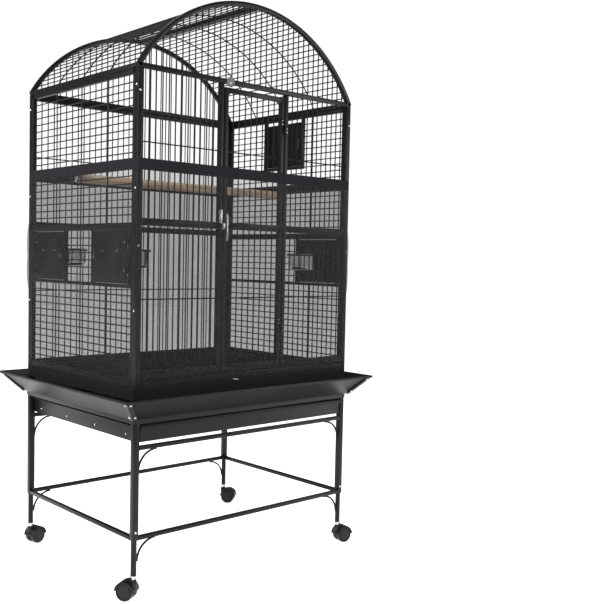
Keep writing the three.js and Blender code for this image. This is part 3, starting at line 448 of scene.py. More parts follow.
guard_screws = bmesh.new()
corner_straps = bmesh.new()
for corner, s, e in CORNERS:
    # the strap lies under the mitre, folded to both slopes
    foot_run, tip_run = GUARD_FOOT_RUN + 0.004, GUARD_RUN - 0.002
    foot = Vector((s * (HALF_WIDTH + foot_run), e * (HALF_DEPTH + foot_run), STAND_TOP_Z - STRAP_THICK))
    tip = Vector((s * (HALF_WIDTH + tip_run), e * (HALF_DEPTH + tip_run), GUARD_TOP_Z - 0.0035))
    for across in ((1, 0), (0, 1)):
        back = Vector((-s * across[0], -e * across[1], 0)) * STRAP_WIDE
        plate(corner_straps, [place + STRAP_DROP for place in (foot, tip, tip + back, foot + back)],
              (0, 0, -STRAP_THICK))
        slope = Vector((s * (1 - across[0]), e * (1 - across[1]), -1)).normalized()
        for share in STRAP_SCREWS:
            screw(guard_screws, foot.lerp(tip, share) + back * 0.62 + slope * 0.0016, slope)
finished(corner_straps, "seed_guard_corner_straps", "frame", sheet_coat, "sheet_metal")
finished(guard_screws, "seed_guard_screws", "frame", zinc_plate, "latch_chrome")

# ---- Base rail and floor grille ---------------------------------------------------------
# The rail ties the front posts under the grille. The grille is round wire welded to a square
# bar frame with a flat front strip, and slides out on two ledges over the tray.
PITCH = 0.0215
WIRE = 0.0038
GRILLE_BAR = 0.008
GRILLE_UP = 0.0063
STRIP_THICK = 0.004


def wire(bm, start, end):
    rod(bm, start, end, WIRE / 2, 8)


def evenly(low, high, pitch=PITCH):
    """Where the wires go between two edges, at an even pitch close to the one asked for."""
    gaps = max(1, round((high - low) / pitch))
    return [low + (high - low) * (i + 1) / gaps for i in range(gaps - 1)]


base_rail = bmesh.new()
tube(base_rail, *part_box("base_front_rail"))
finished(base_rail, "base_front_tube", "frame", powder_coat, "frame_coat", "base_front_rail")

grille = bmesh.new()
low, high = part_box("floor_grille")
strip_back = low[1] + STRIP_THICK
bar_low = low[2] + GRILLE_UP
mid = bar_low + GRILLE_BAR / 2
tube(grille, low, (high[0], strip_back, high[2]), 0.0012)
tube(grille, (low[0], high[1] - GRILLE_BAR, bar_low), (high[0], high[1], bar_low + GRILLE_BAR), 0.001)
for s in (-1, 1):
    tube(grille, (s * high[0], strip_back - BITE, bar_low),
         (s * (high[0] - GRILLE_BAR), high[1], bar_low + GRILLE_BAR), 0.001)
for x in evenly(low[0] + GRILLE_BAR, high[0] - GRILLE_BAR):
    wire(grille, (x, strip_back - BITE, mid), (x, high[1] - GRILLE_BAR + BITE, mid))
for y in evenly(strip_back, high[1], (high[1] - strip_back) / 3):
    wire(grille, (low[0] + GRILLE_BAR - BITE, y, mid - WIRE * 0.9),
        (high[0] - GRILLE_BAR + BITE, y, mid - WIRE * 0.9))
finished(grille, "floor_grille_wires", "floor_grille", powder_coat, "frame_coat", "floor_grille")

# ---- Front panels -----------------------------------------------------------------------
# Two welded panels, one each side of the door: a corner post, a door upright, flat rails and
# upright wires, with two thin cross wires behind them. The right one carries the door's hinges.
RAIL = 0.014
RAIL_TALL = 0.020
DOOR_GAP = 0.003
HALF_DOOR = 0.115
UPRIGHT_IN = HALF_DOOR + DOOR_GAP
UPRIGHT_OUT = UPRIGHT_IN + RAIL
FRONT = -HALF_DEPTH
FRONT_RAIL_Z = 0.611
MID_RAIL_Z = 1.029
LOWER_WIRE_Z = 0.828
UPPER_WIRE_Z = 1.255
ROOF_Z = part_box("roof_arch_front")[0][2]
BARREL_RADIUS = 0.004
LEAF = 0.0012
LEAF_EDGE = 0.0003
LEAF_SINK = 0.0002
KNUCKLE = 0.022
DOOR_HINGES_Z = (0.720, 1.330)
DOOR_AXIS = (UPRIGHT_IN - DOOR_GAP / 2, FRONT - BARREL_RADIUS - LEAF + LEAF_SINK)
WELD_SINK = 0.0004
SET_BACK = 0.001  # the middle rails sit this far behind the face of the tubes
HINGE_SCREW = 0.0024
PIN_RADIUS = 0.0019
POST_BOLT = 0.0034
POST_BOLTS_Z = (MID_RAIL_Z - 0.055, ROOF_Z - 0.060)


def barrel(bm, x, y, foot, tall, radius):
    """One knuckle of a hinge, with its ends rounded."""
    round_end = radius * 0.2
    turned(bm, [(0, 0), (radius - round_end, 0), (radius, round_end), (radius, tall - round_end),
                (radius - round_end, tall), (0, tall)], Matrix.Translation((x, y, foot)), 20)


def door_knuckle(bm, screws, foot, leaf_end, screw_x):
    """One half of a main door hinge: a leaf on the tube's face, rolled round the pin, and its screws."""
    tube(bm, (DOOR_AXIS[0], FRONT - LEAF, foot), (leaf_end, FRONT + LEAF_SINK, foot + KNUCKLE), LEAF_EDGE)
    barrel(bm, *DOOR_AXIS, foot, KNUCKLE, BARREL_RADIUS)
    for up in (0.25, 0.75):
        screw(screws, (screw_x, FRONT - LEAF, foot + up * KNUCKLE), (0, -1, 0), HINGE_SCREW)


hardware = bmesh.new()
for side, s in SIDES:
    panel = bmesh.new()
    top = ROOF_Z - FIT
    line = FRONT + RAIL / 2
    cross = line + WIRE - WELD_SINK
    tube(panel, (s * POST_IN_X, FRONT, STAND_TOP_Z + FIT), (s * HALF_WIDTH, FRONT + POST, top))
    tube(panel, (s * UPRIGHT_IN, FRONT, FRONT_RAIL_Z), (s * UPRIGHT_OUT, FRONT + RAIL, top))
    tube(panel, (s * (UPRIGHT_OUT - 2 * BITE), FRONT, FRONT_RAIL_Z),
         (s * (POST_IN_X + 2 * BITE), FRONT + RAIL, FRONT_RAIL_Z + RAIL_TALL))
    tube(panel, (s * (UPRIGHT_OUT - 2 * BITE), FRONT + SET_BACK, MID_RAIL_Z),
         (s * (POST_IN_X + 2 * BITE), FRONT + RAIL - SET_BACK, MID_RAIL_Z + RAIL_TALL))
    for x in evenly(UPRIGHT_OUT, POST_IN_X):
        wire(panel, (s * x, line, FRONT_RAIL_Z + RAIL_TALL - 2 * BITE), (s * x, line, top))
    for z in (LOWER_WIRE_Z, UPPER_WIRE_Z):
        wire(panel, (s * (UPRIGHT_OUT - BITE), cross, z), (s * (POST_IN_X + BITE), cross, z))
    if s > 0:
        for z in DOOR_HINGES_Z:
            door_knuckle(panel, hardware, z, UPRIGHT_OUT - 2 * BITE, UPRIGHT_OUT - 0.006)
            barrel(hardware, *DOOR_AXIS, z + KNUCKLE - BITE, KNUCKLE + 0.0004, PIN_RADIUS)
    # the heads of the bolts that join the post to the side wall
    for z in POST_BOLTS_Z:
        screw(hardware, (s * (HALF_WIDTH - 0.0065), FRONT, z), (0, -1, 0), POST_BOLT)
    finished(panel, f"{side}_front_wires", "frame", powder_coat, "frame_coat", f"front_panel_{side}")
finished(hardware, "front_hardware", "frame", zinc_plate, "latch_chrome")

# ---- Rear wall --------------------------------------------------------------------------
# One welded panel across the back: two corner posts, three rails, upright wires and two
# cross wires on the inside. It bolts to the side walls through the posts.
WALL_FOOT_Z = 0.586
rear = bmesh.new()
back = HALF_DEPTH
line = back - RAIL / 2
cross = line - WIRE + WELD_SINK
top = ROOF_Z - FIT
for foot, head, inset in ((WALL_FOOT_Z, WALL_FOOT_Z + RAIL_TALL, 0),
                          (MID_RAIL_Z, MID_RAIL_Z + RAIL_TALL, SET_BACK), (top - RAIL, top, 0)):
    tube(rear, (-POST_IN_X - BITE, back - RAIL + inset, foot), (POST_IN_X + BITE, back - inset, head))
for s in (-1, 1):
    tube(rear, (s * POST_IN_X, back - POST, STAND_TOP_Z + FIT), (s * HALF_WIDTH, back, top))
for x in evenly(-POST_IN_X, POST_IN_X):
    wire(rear, (x, line, WALL_FOOT_Z + RAIL_TALL - 2 * BITE), (x, line, top - RAIL + 2 * BITE))
for z in (LOWER_WIRE_Z, UPPER_WIRE_Z):
    wire(rear, (-POST_IN_X - BITE, cross, z), (POST_IN_X + BITE, cross, z))
finished(rear, "rear_wires", "frame", powder_coat, "frame_coat", "rear_panel")

# ---- Side walls -------------------------------------------------------------------------
# Each side is one welded panel of level wires on three thin uprights, in a frame of tube 12 mm
# deep. Jambs frame the openings for the small doors, and a folded ledge carries the grille.
WALL_DEEP = 0.012
WALL_CORNER = 0.0014
STILE = 0.010
JAMB = 0.010
HATCH_WIDTH = 0.184
HATCH_GAP = 0.0015
HATCH_BARREL = 0.0035
HATCH_PIN = 0.0018
HATCH_KNUCKLE = 0.012
FEEDER_Z = 0.869
FEEDER_TALL = 0.146
NEST_Z = 1.273
NEST_TALL = 0.151
LEDGE_Z = 0.592
LEDGE_WIDE = 0.016
LEDGE_THICK = 0.002
WALL_IN = HALF_WIDTH - WALL_DEEP
WIRE_LINE = HALF_WIDTH - WALL_DEEP / 2
CROSS_LINE = WIRE_LINE - WIRE + WELD_SINK
HATCH_HOLE = HATCH_WIDTH / 2 + HATCH_GAP
FEEDER_Y = 0.181
HATCHES = [{"name": name, "side": s, "y": y, "hinge": hinge, "foot": foot, "tall": tall}
           for name, s, y, hinge, foot, tall in (
               ("feeder_front_left", -1, -FEEDER_Y, -1, FEEDER_Z, FEEDER_TALL),
               ("feeder_rear_left", -1, FEEDER_Y, 1, FEEDER_Z, FEEDER_TALL),
               ("feeder_front_right", 1, -FEEDER_Y, -1, FEEDER_Z, FEEDER_TALL),
               ("nest", 1, 0.0, 1, NEST_Z, NEST_TALL))]
WALL_TOP = ROOF_Z - FIT
WALL_BOLTS_Z = (LOWER_WIRE_Z - 0.03, MID_RAIL_Z + 0.1, ROOF_Z - 0.045)
RAIL_OVER = FEEDER_Z + FEEDER_TALL + HATCH_GAP
RAIL_UNDER = FEEDER_Z - HATCH_GAP
FIELDS = ((WALL_FOOT_Z + RAIL_TALL, RAIL_UNDER - JAMB), (RAIL_UNDER, RAIL_OVER),
          (RAIL_OVER + RAIL_TALL, WALL_TOP - RAIL))


def has_cup(hatch):
    """The nest door has no cup."""
    return hatch["name"] != "nest"


def hatch_axis(hatch):
    """Where a small door's hinge pins stand."""
    out = HALF_WIDTH + HATCH_BARREL + LEAF - LEAF_SINK
    return hatch["side"] * out, hatch["y"] + hatch["hinge"] * (HATCH_HOLE - HATCH_GAP / 2)


def hatch_hinges(hatch):
    """The heights of its two hinges."""
    return [hatch["foot"] + share * hatch["tall"] for share in (0.12, 0.66)]


def free_runs(z, openings, end):
    """The stretches of one level wire that no small door's opening takes."""
    free = [(-end + STILE, end - STILE)]
    for hatch in openings:
        low = hatch["foot"] - HATCH_GAP - (0 if has_cup(hatch) else JAMB)
        if low <= z <= hatch["foot"] + hatch["tall"] + HATCH_GAP:
            a, b = hatch["y"] - HATCH_HOLE - JAMB, hatch["y"] + HATCH_HOLE + JAMB
            free = [run for lo, hi in free
                    for run in ([(lo, hi)] if b < lo or a > hi else [(lo, a), (b, hi)])]
    return [(lo, hi) for lo, hi in free if hi - lo > PITCH / 2]


def hatch_knuckle(bm, screws, hatch, foot, leaf_end, screw_y, screw_radius):
    """One half of a small door's hinge, with its one screw."""
    s, axis = hatch["side"], hatch_axis(hatch)
    tube(bm, (s * (HALF_WIDTH - LEAF_SINK), axis[1], foot),
         (s * (HALF_WIDTH + LEAF), leaf_end, foot + HATCH_KNUCKLE), LEAF_EDGE)
    barrel(bm, *axis, foot, HATCH_KNUCKLE, HATCH_BARREL)
    screw(screws, (s * (HALF_WIDTH + LEAF), screw_y, foot + HATCH_KNUCKLE / 2), (s, 0, 0), screw_radius)


hinge_hardware = bmesh.new()
for side, s in SIDES:
    wall = bmesh.new()
    end = POST_IN_Y - FIT
    openings = [hatch for hatch in HATCHES if hatch["side"] == s]
    for y0, y1, z0, z1 in ((-end, end, WALL_FOOT_Z, WALL_FOOT_Z + RAIL_TALL),
                           (-end, end, WALL_TOP - RAIL, WALL_TOP),
                           (-end, -end + STILE, WALL_FOOT_Z, WALL_TOP),
                           (end - STILE, end, WALL_FOOT_Z, WALL_TOP),
                           (-end, end, RAIL_OVER, RAIL_OVER + RAIL_TALL),
                           (-end, end, RAIL_UNDER - JAMB, RAIL_UNDER)):
        tube(wall, (s * WALL_IN, y0, z0), (s * HALF_WIDTH, y1, z1), WALL_CORNER)
    tube(wall, (s * (WALL_IN - LEDGE_WIDE), -end, LEDGE_Z),
         (s * (WALL_IN + BITE), end, LEDGE_Z + LEDGE_THICK), 0.0005)
    for hatch in openings:
        low = hatch["foot"] - HATCH_GAP
        high = RAIL_OVER if has_cup(hatch) else WALL_TOP - RAIL
        for t in (-1, 1):
            inner = hatch["y"] + t * HATCH_HOLE
            tube(wall, (s * WALL_IN, inner, low - BITE), (s * HALF_WIDTH, inner + t * JAMB, high + BITE),
                 WALL_CORNER)
        if not has_cup(hatch):
            tube(wall, (s * WALL_IN, hatch["y"] - HATCH_HOLE - JAMB, low - JAMB),
                 (s * HALF_WIDTH, hatch["y"] + HATCH_HOLE + JAMB, low), WALL_CORNER)
        jamb = hatch["y"] + hatch["hinge"] * (HATCH_HOLE + JAMB - BITE)
        for z in hatch_hinges(hatch):
            hatch_knuckle(wall, hinge_hardware, hatch, z, jamb, jamb - hatch["hinge"] * 0.0035, HINGE_SCREW)
            barrel(hinge_hardware, *hatch_axis(hatch), z + HATCH_KNUCKLE - BITE, HATCH_KNUCKLE + 0.0014,
                   HATCH_PIN)
    for low, high in FIELDS:
        for z in evenly(low, high):
            for lo, hi in free_runs(z, openings, end):
                wire(wall, (s * WIRE_LINE, lo - BITE, z), (s * WIRE_LINE, hi + BITE, z))
        for y in evenly(-POST_IN_Y, POST_IN_Y, POST_IN_Y / 2):
            blocked = [hatch for hatch in openings if abs(hatch["y"] - y) < HATCH_HOLE
                       and hatch["foot"] < high and hatch["foot"] + hatch["tall"] > low]
            up_to = blocked[0]["foot"] - HATCH_GAP - JAMB if blocked else high
            if up_to > low + JAMB:
                wire(wall, (s * CROSS_LINE, y, low - BITE), (s * CROSS_LINE, y, up_to + BITE))
    for z in WALL_BOLTS_Z:
        for e in (-1, 1):
            screw(hinge_hardware, (s * HALF_WIDTH, e * (HALF_DEPTH - POST / 2), z), (s, 0, 0), POST_BOLT)
    finished(wall, f"{side}_wall_wires", "frame", powder_coat, "frame_coat", f"wall_{side}")
finished(hinge_hardware, "side_hardware", "frame", zinc_plate, "latch_chrome")

# ---- Roof -------------------------------------------------------------------------------
# Two rolled arches of 14 mm tube close the ends, with upright wires under them. Between them
# two halves of long straight wires on rolled ribs meet at a double ridge bar.
ARCH_HALF_ANGLE = pi / 3
ARCH_RADIUS = HALF_WIDTH / sin(ARCH_HALF_ANGLE)
ARCH_Z = ROOF_Z + RAIL - ARCH_RADIUS * cos(ARCH_HALF_ANGLE)
ARCH_LAP = 0.012  # the angle by which an arch's ends run down into its foot bar
RIDGE_BAR = 0.012
END_RIB = 0.005


def bent_tube(bm, radius, y, wide, tall, centre_angle, angle, steps, corner):
    """A rounded square tube rolled to an arch about the roof's axis, from one angle off the ridge."""
    made = bmesh.ops.create_grid(bm, x_segments=1, y_segments=1, size=0.5, matrix=Matrix.LocRotScale(
        Vector((0, y, ARCH_Z + radius)), Matrix.Rotation(pi / 2, 3, "Y"), Vector((tall, wide, 1))))
    rounded = bmesh.ops.bevel(bm, geom=made["verts"], offset=corner, segments=2, profile=0.5,
                              affect="VERTICES", material=-1)
    face = max(rounded["verts"][0].link_faces, key=lambda f: len(f.verts))
    bmesh.ops.rotate(bm, verts=face.verts, cent=(0, 0, ARCH_Z),
                     matrix=Matrix.Rotation(centre_angle, 3, "Y"))
    bmesh.ops.spin(bm, geom=[face, *face.edges, *face.verts], cent=(0, 0, ARCH_Z), axis=(0, 1, 0),
                   angle=angle, steps=steps, use_merge=False, use_duplicate=False)


for end, e in ENDS:
    arch = bmesh.new()
    line = e * (HALF_DEPTH - RAIL / 2)
    bent_tube(arch, ARCH_RADIUS - RAIL / 2, line, RAIL, RAIL, -ARCH_HALF_ANGLE - ARCH_LAP,
              2 * (ARCH_HALF_ANGLE + ARCH_LAP), 56, TUBE_CORNER)
    tube(arch, (-HALF_WIDTH, line - RAIL / 2, ROOF_Z), (HALF_WIDTH, line + RAIL / 2, ROOF_Z + RAIL))
    inner = ARCH_RADIUS - RAIL
    half = inner * sin(acos((ROOF_Z + RAIL - ARCH_Z) / inner))
    for x in evenly(-half, half):
        height = ARCH_Z + sqrt(inner ** 2 - x ** 2)
        if height - ROOF_Z - RAIL > 2 * WIRE:
            wire(arch, (x, line, ROOF_Z + RAIL - BITE), (x, line, height + BITE))
    finished(arch, f"{end}_roof_arch_tube", "frame", powder_coat, "frame_coat", f"roof_arch_{end}")

for side, s in SIDES:
    roof = bmesh.new()
    end = HALF_DEPTH - RAIL - FIT
    radius = ARCH_RADIUS - RAIL / 2
    ridge_top = ARCH_Z + ARCH_RADIUS - 0.001
    tube(roof, (s * (HALF_WIDTH - RAIL), -end, ROOF_Z), (s * HALF_WIDTH, end, ROOF_Z + RAIL))
    tube(roof, (s * FIT, -end, ridge_top - RAIL), (s * RIDGE_BAR, end, ridge_top), 0.0012)
    first = asin(RIDGE_BAR / radius)
    span = ARCH_HALF_ANGLE - first / 2
    for y in (-end + END_RIB / 2, end - END_RIB / 2):
        bent_tube(roof, radius, y, END_RIB, END_RIB, s * first / 2, s * span, 28, 0.0008)
    for y in evenly(-end, end, end / 2):
        rib = Matrix.Rotation(s * first / 2, 3, "Y") @ Vector((0, 0, radius - WIRE + WELD_SINK))
        bent_rod(roof, (0, y, ARCH_Z), (rib.x, y, ARCH_Z + rib.z), (0, 1, 0), s * span, WIRE / 2, 28)
    rows = round(radius * (ARCH_HALF_ANGLE - first) / PITCH)
    for row in range(1, rows):
        angle = first + (ARCH_HALF_ANGLE - first) * row / rows
        x, z = s * radius * sin(angle), ARCH_Z + radius * cos(angle)
        wire(roof, (x, -end + BITE, z), (x, end - BITE, z))
    finished(roof, f"{side}_roof_wires", "frame", powder_coat, "frame_coat", f"roof_half_{side}")

# ---- Main door --------------------------------------------------------------------------
# A welded frame of 14 mm tube filled with upright wires and hung on two lift-off hinges.
# Small webs round its top corners, and a tapered sheet beside the latch keeps beaks off it.
DOOR_LOW, DOOR_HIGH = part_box("main_door")
DOOR_FOOT_Z, DOOR_TOP_Z = DOOR_LOW[2], DOOR_HIGH[2]
DOOR_INNER = HALF_DOOR - RAIL
LEVER_X = -HALF_DOOR + RAIL / 2
LEVER_Z = 1.035
CORNER_WEB = 0.016
WEB_BACK = 0.003
SHIELD_REACH = 0.045
WEB_THICK = 0.008

door = bmesh.new()
line = FRONT + RAIL / 2
cross = line + WIRE - WELD_SINK
rail_end = DOOR_INNER + 2 * BITE
for low, high in (((-HALF_DOOR, FRONT, DOOR_FOOT_Z), (-DOOR_INNER, FRONT + RAIL, DOOR_TOP_Z)),
                  ((DOOR_INNER, FRONT, DOOR_FOOT_Z), (HALF_DOOR, FRONT + RAIL, DOOR_TOP_Z)),
                  ((-rail_end, FRONT, DOOR_FOOT_Z), (rail_end, FRONT + RAIL, FRONT_RAIL_Z + RAIL_TALL)),
                  ((-rail_end, FRONT + SET_BACK, MID_RAIL_Z),
                   (rail_end, FRONT + RAIL - SET_BACK, MID_RAIL_Z + RAIL_TALL)),
                  ((-rail_end, FRONT, DOOR_TOP_Z - RAIL), (rail_end, FRONT + RAIL, DOOR_TOP_Z))):
    tube(door, low, high)
for x in evenly(-DOOR_INNER, DOOR_INNER):
    wire(door, (x, line, FRONT_RAIL_Z + RAIL_TALL - 2 * BITE), (x, line, DOOR_TOP_Z - RAIL + 2 * BITE))
for z in (LOWER_WIRE_Z, UPPER_WIRE_Z):
    wire(door, (-DOOR_INNER - BITE, cross, z), (DOOR_INNER + BITE, cross, z))
for s in (-1, 1):
    # a quarter-round web fills each top corner of the frame
    hub = Vector((s * (DOOR_INNER - CORNER_WEB), 0, DOOR_TOP_Z - RAIL - CORNER_WEB))
    arc = [hub + Vector((s * CORNER_WEB * cos(a), FRONT + WEB_BACK, CORNER_WEB * sin(a)))
           for a in [pi / 2 * step / 8 for step in range(9)]]
    corner = Vector((s * (DOOR_INNER + BITE), FRONT + WEB_BACK, DOOR_TOP_Z - RAIL + BITE))
    plate(door, [*arc, corner], (0, WEB_THICK, 0))
door_pins = bmesh.new()
for z in DOOR_HINGES_Z:
    foot = z + KNUCKLE + FIT
    door_knuckle(door, door_pins, foot, rail_end, DOOR_INNER + 0.006)
shield = [(-DOOR_INNER - BITE, LEVER_Z - SHIELD_REACH), (-DOOR_INNER + 0.010, LEVER_Z - 0.040),
          (-DOOR_INNER + 0.020, MID_RAIL_Z + RAIL_TALL), (-DOOR_INNER + 0.006, LEVER_Z + SHIELD_REACH),
          (-DOOR_INNER - BITE, LEVER_Z + SHIELD_REACH)]
plate(door, [(x, FRONT + SET_BACK, z) for x, z in shield], (0, SHEET, 0))
finished(door, "main_door_wires", "main_door", powder_coat, "frame_coat", "main_door")
finished(door_pins, "main_door_screws", "main_door", zinc_plate, "latch_chrome")

# ---- Latch, keeper and turn disc --------------------------------------------------------
# A cast lever in bright chrome turns on a boss on the door's edge and drops behind a chrome
# keeper on the upright. A coated steel disc on one bright rivet turns down over the door's top.
CHROME_DEEP = (0.34, 0.35, 0.36, 1)
CHROME_LIGHT = (0.60, 0.61, 0.63, 1)
LEVER_HALF_WIDE = 0.004
LEVER_THICK = 0.0044
LEVER_SCREW = 0.0026
KEEPER_SCREW = 0.0028
KEEPER_SCREW_DROPS = (0.006, 0.034)
DISC_RIVET = 0.0034
chrome = surface("latch_chrome_plate", PLATED_GROUP,
                 {"Deep": CHROME_DEEP, "Light": CHROME_LIGHT, "Grain": 300.0, "Drift": 45.0,
                  "Roughness": 0.15, "Spread": 0.10}, (0.05, 0.0001), Metallic=1.0)

low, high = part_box("latch_lever")
lever = bmesh.new()
blade_y = low[1] + 0.0006
half_tall = (high[2] - low[2]) / 2
blade = []
for sign, half_wide in ((1, LEVER_HALF_WIDE), (-1, LEVER_HALF_WIDE * 1.1)):
    for step in range(9):
        a = pi * step / 8
        blade.append((LEVER_X + sign * half_wide * cos(a), blade_y,
                      LEVER_Z + sign * (half_tall - half_wide + half_wide * sin(a))))
plate(lever, blade, (0, LEVER_THICK, 0))
rims = [edge for edge in lever.edges if edge.calc_face_angle(0) > radians(60)]
bmesh.ops.bevel(lever, geom=rims, offset=0.0012, segments=3, profile=0.5, affect="EDGES", material=-1)
toward = Matrix.Rotation(pi / 2, 4, "X")
turned(lever, [(0, 0), (0.0062, 0), (0.0062, 0.001), (0.0052, 0.0016), (0.0048, 0.0060), (0.0055, 0.0075),
               (0, 0.0075)], Matrix.Translation((LEVER_X, FRONT - FIT, LEVER_Z)) @ toward, 24)
turned(lever, [(0, 0), (0.0029, 0), (0.0029, 0.016), (0.0022, 0.0172), (0, 0.0172)],
       Matrix.Translation((LEVER_X, FRONT + RAIL, LEVER_Z)) @ toward, 20)
for up in (-half_tall + LEVER_HALF_WIDE, half_tall - LEVER_HALF_WIDE, 0):
    screw(lever, (LEVER_X, blade_y, LEVER_Z + up), (0, -1, 0), LEVER_SCREW)
finished(lever, "latch_lever_blade", "latch_lever", chrome, "latch_chrome", "latch_lever")

keeper = folded("latch_keeper", 0.0008, segments=3)
low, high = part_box("latch_keeper")
for drop in KEEPER_SCREW_DROPS:
    screw(keeper, ((low[0] + high[0]) / 2, FRONT - FIT - 0.003, high[2] - drop), (0, -1, 0), KEEPER_SCREW)
finished(keeper, "latch_keeper_plate", "frame", chrome, "latch_chrome", "latch_keeper")

low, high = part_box("turn_disc")
disc_x = (low[0] + high[0]) / 2
disc_radius = (high[0] - low[0]) / 2
disc = bmesh.new()
turned(disc, [(0, 0), (disc_radius - 0.0006, 0), (disc_radius, 0.0006), (disc_radius, 0.0028),
              (disc_radius - 0.0010, 0.0040), (disc_radius - 0.0028, 0.0038), (disc_radius - 0.0036, 0.0028),
              (0, 0.0028)], Matrix.Translation((disc_x, FRONT - FIT, low[2] + disc_radius)) @ toward, 48)
disc_coat = surface("turn_disc_coat", POWDER_GROUP,
                    {"Deep": (0.060, 0.060, 0.062, 1), "Light": (0.105, 0.105, 0.108, 1), "Grain": 1400.0,
                     "Drift": 60.0, "Roughness": 0.34}, (0.15, 0.0002))
finished(disc, "turn_disc_plate", "turn_disc", disc_coat, "sheet_metal", "turn_disc")
rivet = bmesh.new()
screw(rivet, (disc_x, FRONT - FIT - 0.0028, ROOF_Z + 0.003), (0, -1, 0), DISC_RIVET)
finished(rivet, "turn_disc_rivet", "turn_disc", zinc_plate, "latch_chrome")

# ---- Feeder doors and nest door ---------------------------------------------------------
# Small pressed-steel doors with folded rims and rounded corners, each on two knuckle hinges.
# The feeder doors carry a welded round-wire ring on two arms, which holds a cup inside the cage.
HATCH_RIM = 0.008
HATCH_CORNER = 0.004
CUP_RADIUS = 0.050
RING_INNER = CUP_RADIUS + 0.002
RING_BAR = 0.005
RING_OUT = 0.070
RING_DROP = 0.052
RING_ARM_Y = 0.036
TAB_HALF_WIDE = 0.007
TAB_DOWN = 0.014
TAB_UP = 0.006
HATCH_SCREW = 0.0025
RING_RIVET = 0.0030
KNOB_INSET = 0.011

for hatch in HATCHES:
    s, y, foot, tall = hatch["side"], hatch["y"], hatch["foot"], hatch["tall"]
    half = HATCH_WIDTH / 2
    pan = bmesh.new()
    middle = Vector((s * (HALF_WIDTH - HATCH_RIM / 2), y, foot + tall / 2))
    made = bmesh.ops.create_cube(pan, size=1, matrix=Matrix.LocRotScale(
        middle, None, Vector((HATCH_RIM, HATCH_WIDTH, tall))))
    upright = [edge for edge in pan.edges
               if abs(edge.verts[0].co.x - edge.verts[1].co.x) > HATCH_RIM / 2]
    bmesh.ops.bevel(pan, geom=upright, offset=HATCH_CORNER, segments=4, profile=0.5,
                    affect="EDGES", material=-1)
    inner_face = min(pan.faces, key=lambda f: s * f.calc_center_median().x)
    bmesh.ops.delete(pan, geom=[inner_face], context="FACES")
    skin = max(pan.faces, key=lambda f: s * f.calc_center_median().x)
    bmesh.ops.bevel(pan, geom=list(skin.edges), offset=0.0012, segments=3, profile=0.5,
                    affect="EDGES", material=-1)
    bmesh.ops.recalc_face_normals(pan, faces=pan.faces)
    outward = max(pan.faces, key=lambda f: f.calc_area())
    if outward.normal.x * s < 0:
        bmesh.ops.reverse_faces(pan, faces=pan.faces)
    bmesh.ops.solidify(pan, geom=pan.faces, thickness=SHEET)
    screws = bmesh.new()
    leaf_end = y + hatch["hinge"] * (half - 0.016)
    for z in hatch_hinges(hatch):
        hatch_knuckle(pan, screws, hatch, z + HATCH_KNUCKLE + FIT, leaf_end,
                      leaf_end + hatch["hinge"] * 0.0045, HATCH_SCREW)
    if has_cup(hatch):
        ring_x, ring_top = s * (HALF_WIDTH - RING_OUT), foot + tall - RING_DROP
        bar = RING_BAR / 2
        ring_mid, bar_z = RING_INNER + bar, ring_top - bar
        section = [(ring_mid + bar * cos(pi * step / 5), bar * sin(pi * step / 5)) for step in range(10)]
        turned(pan, [*section, section[0]], Matrix.Translation((ring_x, y, bar_z)), 40)
        reach = sqrt(ring_mid ** 2 - RING_ARM_Y ** 2)
        for t in (-1, 1):
            arm_y = y + t * (RING_ARM_Y + bar)
            rod(pan, (ring_x + s * reach, arm_y, bar_z), (s * (HALF_WIDTH - SHEET - 0.0008), arm_y, bar_z), bar)
            # each arm ends in a tab with a rivet through the skin
            tube(pan, (s * (HALF_WIDTH - SHEET - 0.0004), arm_y - TAB_HALF_WIDE, ring_top - TAB_DOWN),
                 (s * (HALF_WIDTH - SHEET - 0.0019), arm_y + TAB_HALF_WIDE, ring_top + TAB_UP), 0.0005)
            screw(screws, (s * (HALF_WIDTH - 0.0012), arm_y, ring_top - 0.004), (s, 0, 0), RING_RIVET)
    body = f"{hatch['name']}_door"
    finished(pan, f"{hatch['name']}_plate", body, sheet_coat, "sheet_metal", body)
    finished(screws, f"{hatch['name']}_screws", body, zinc_plate, "latch_chrome")

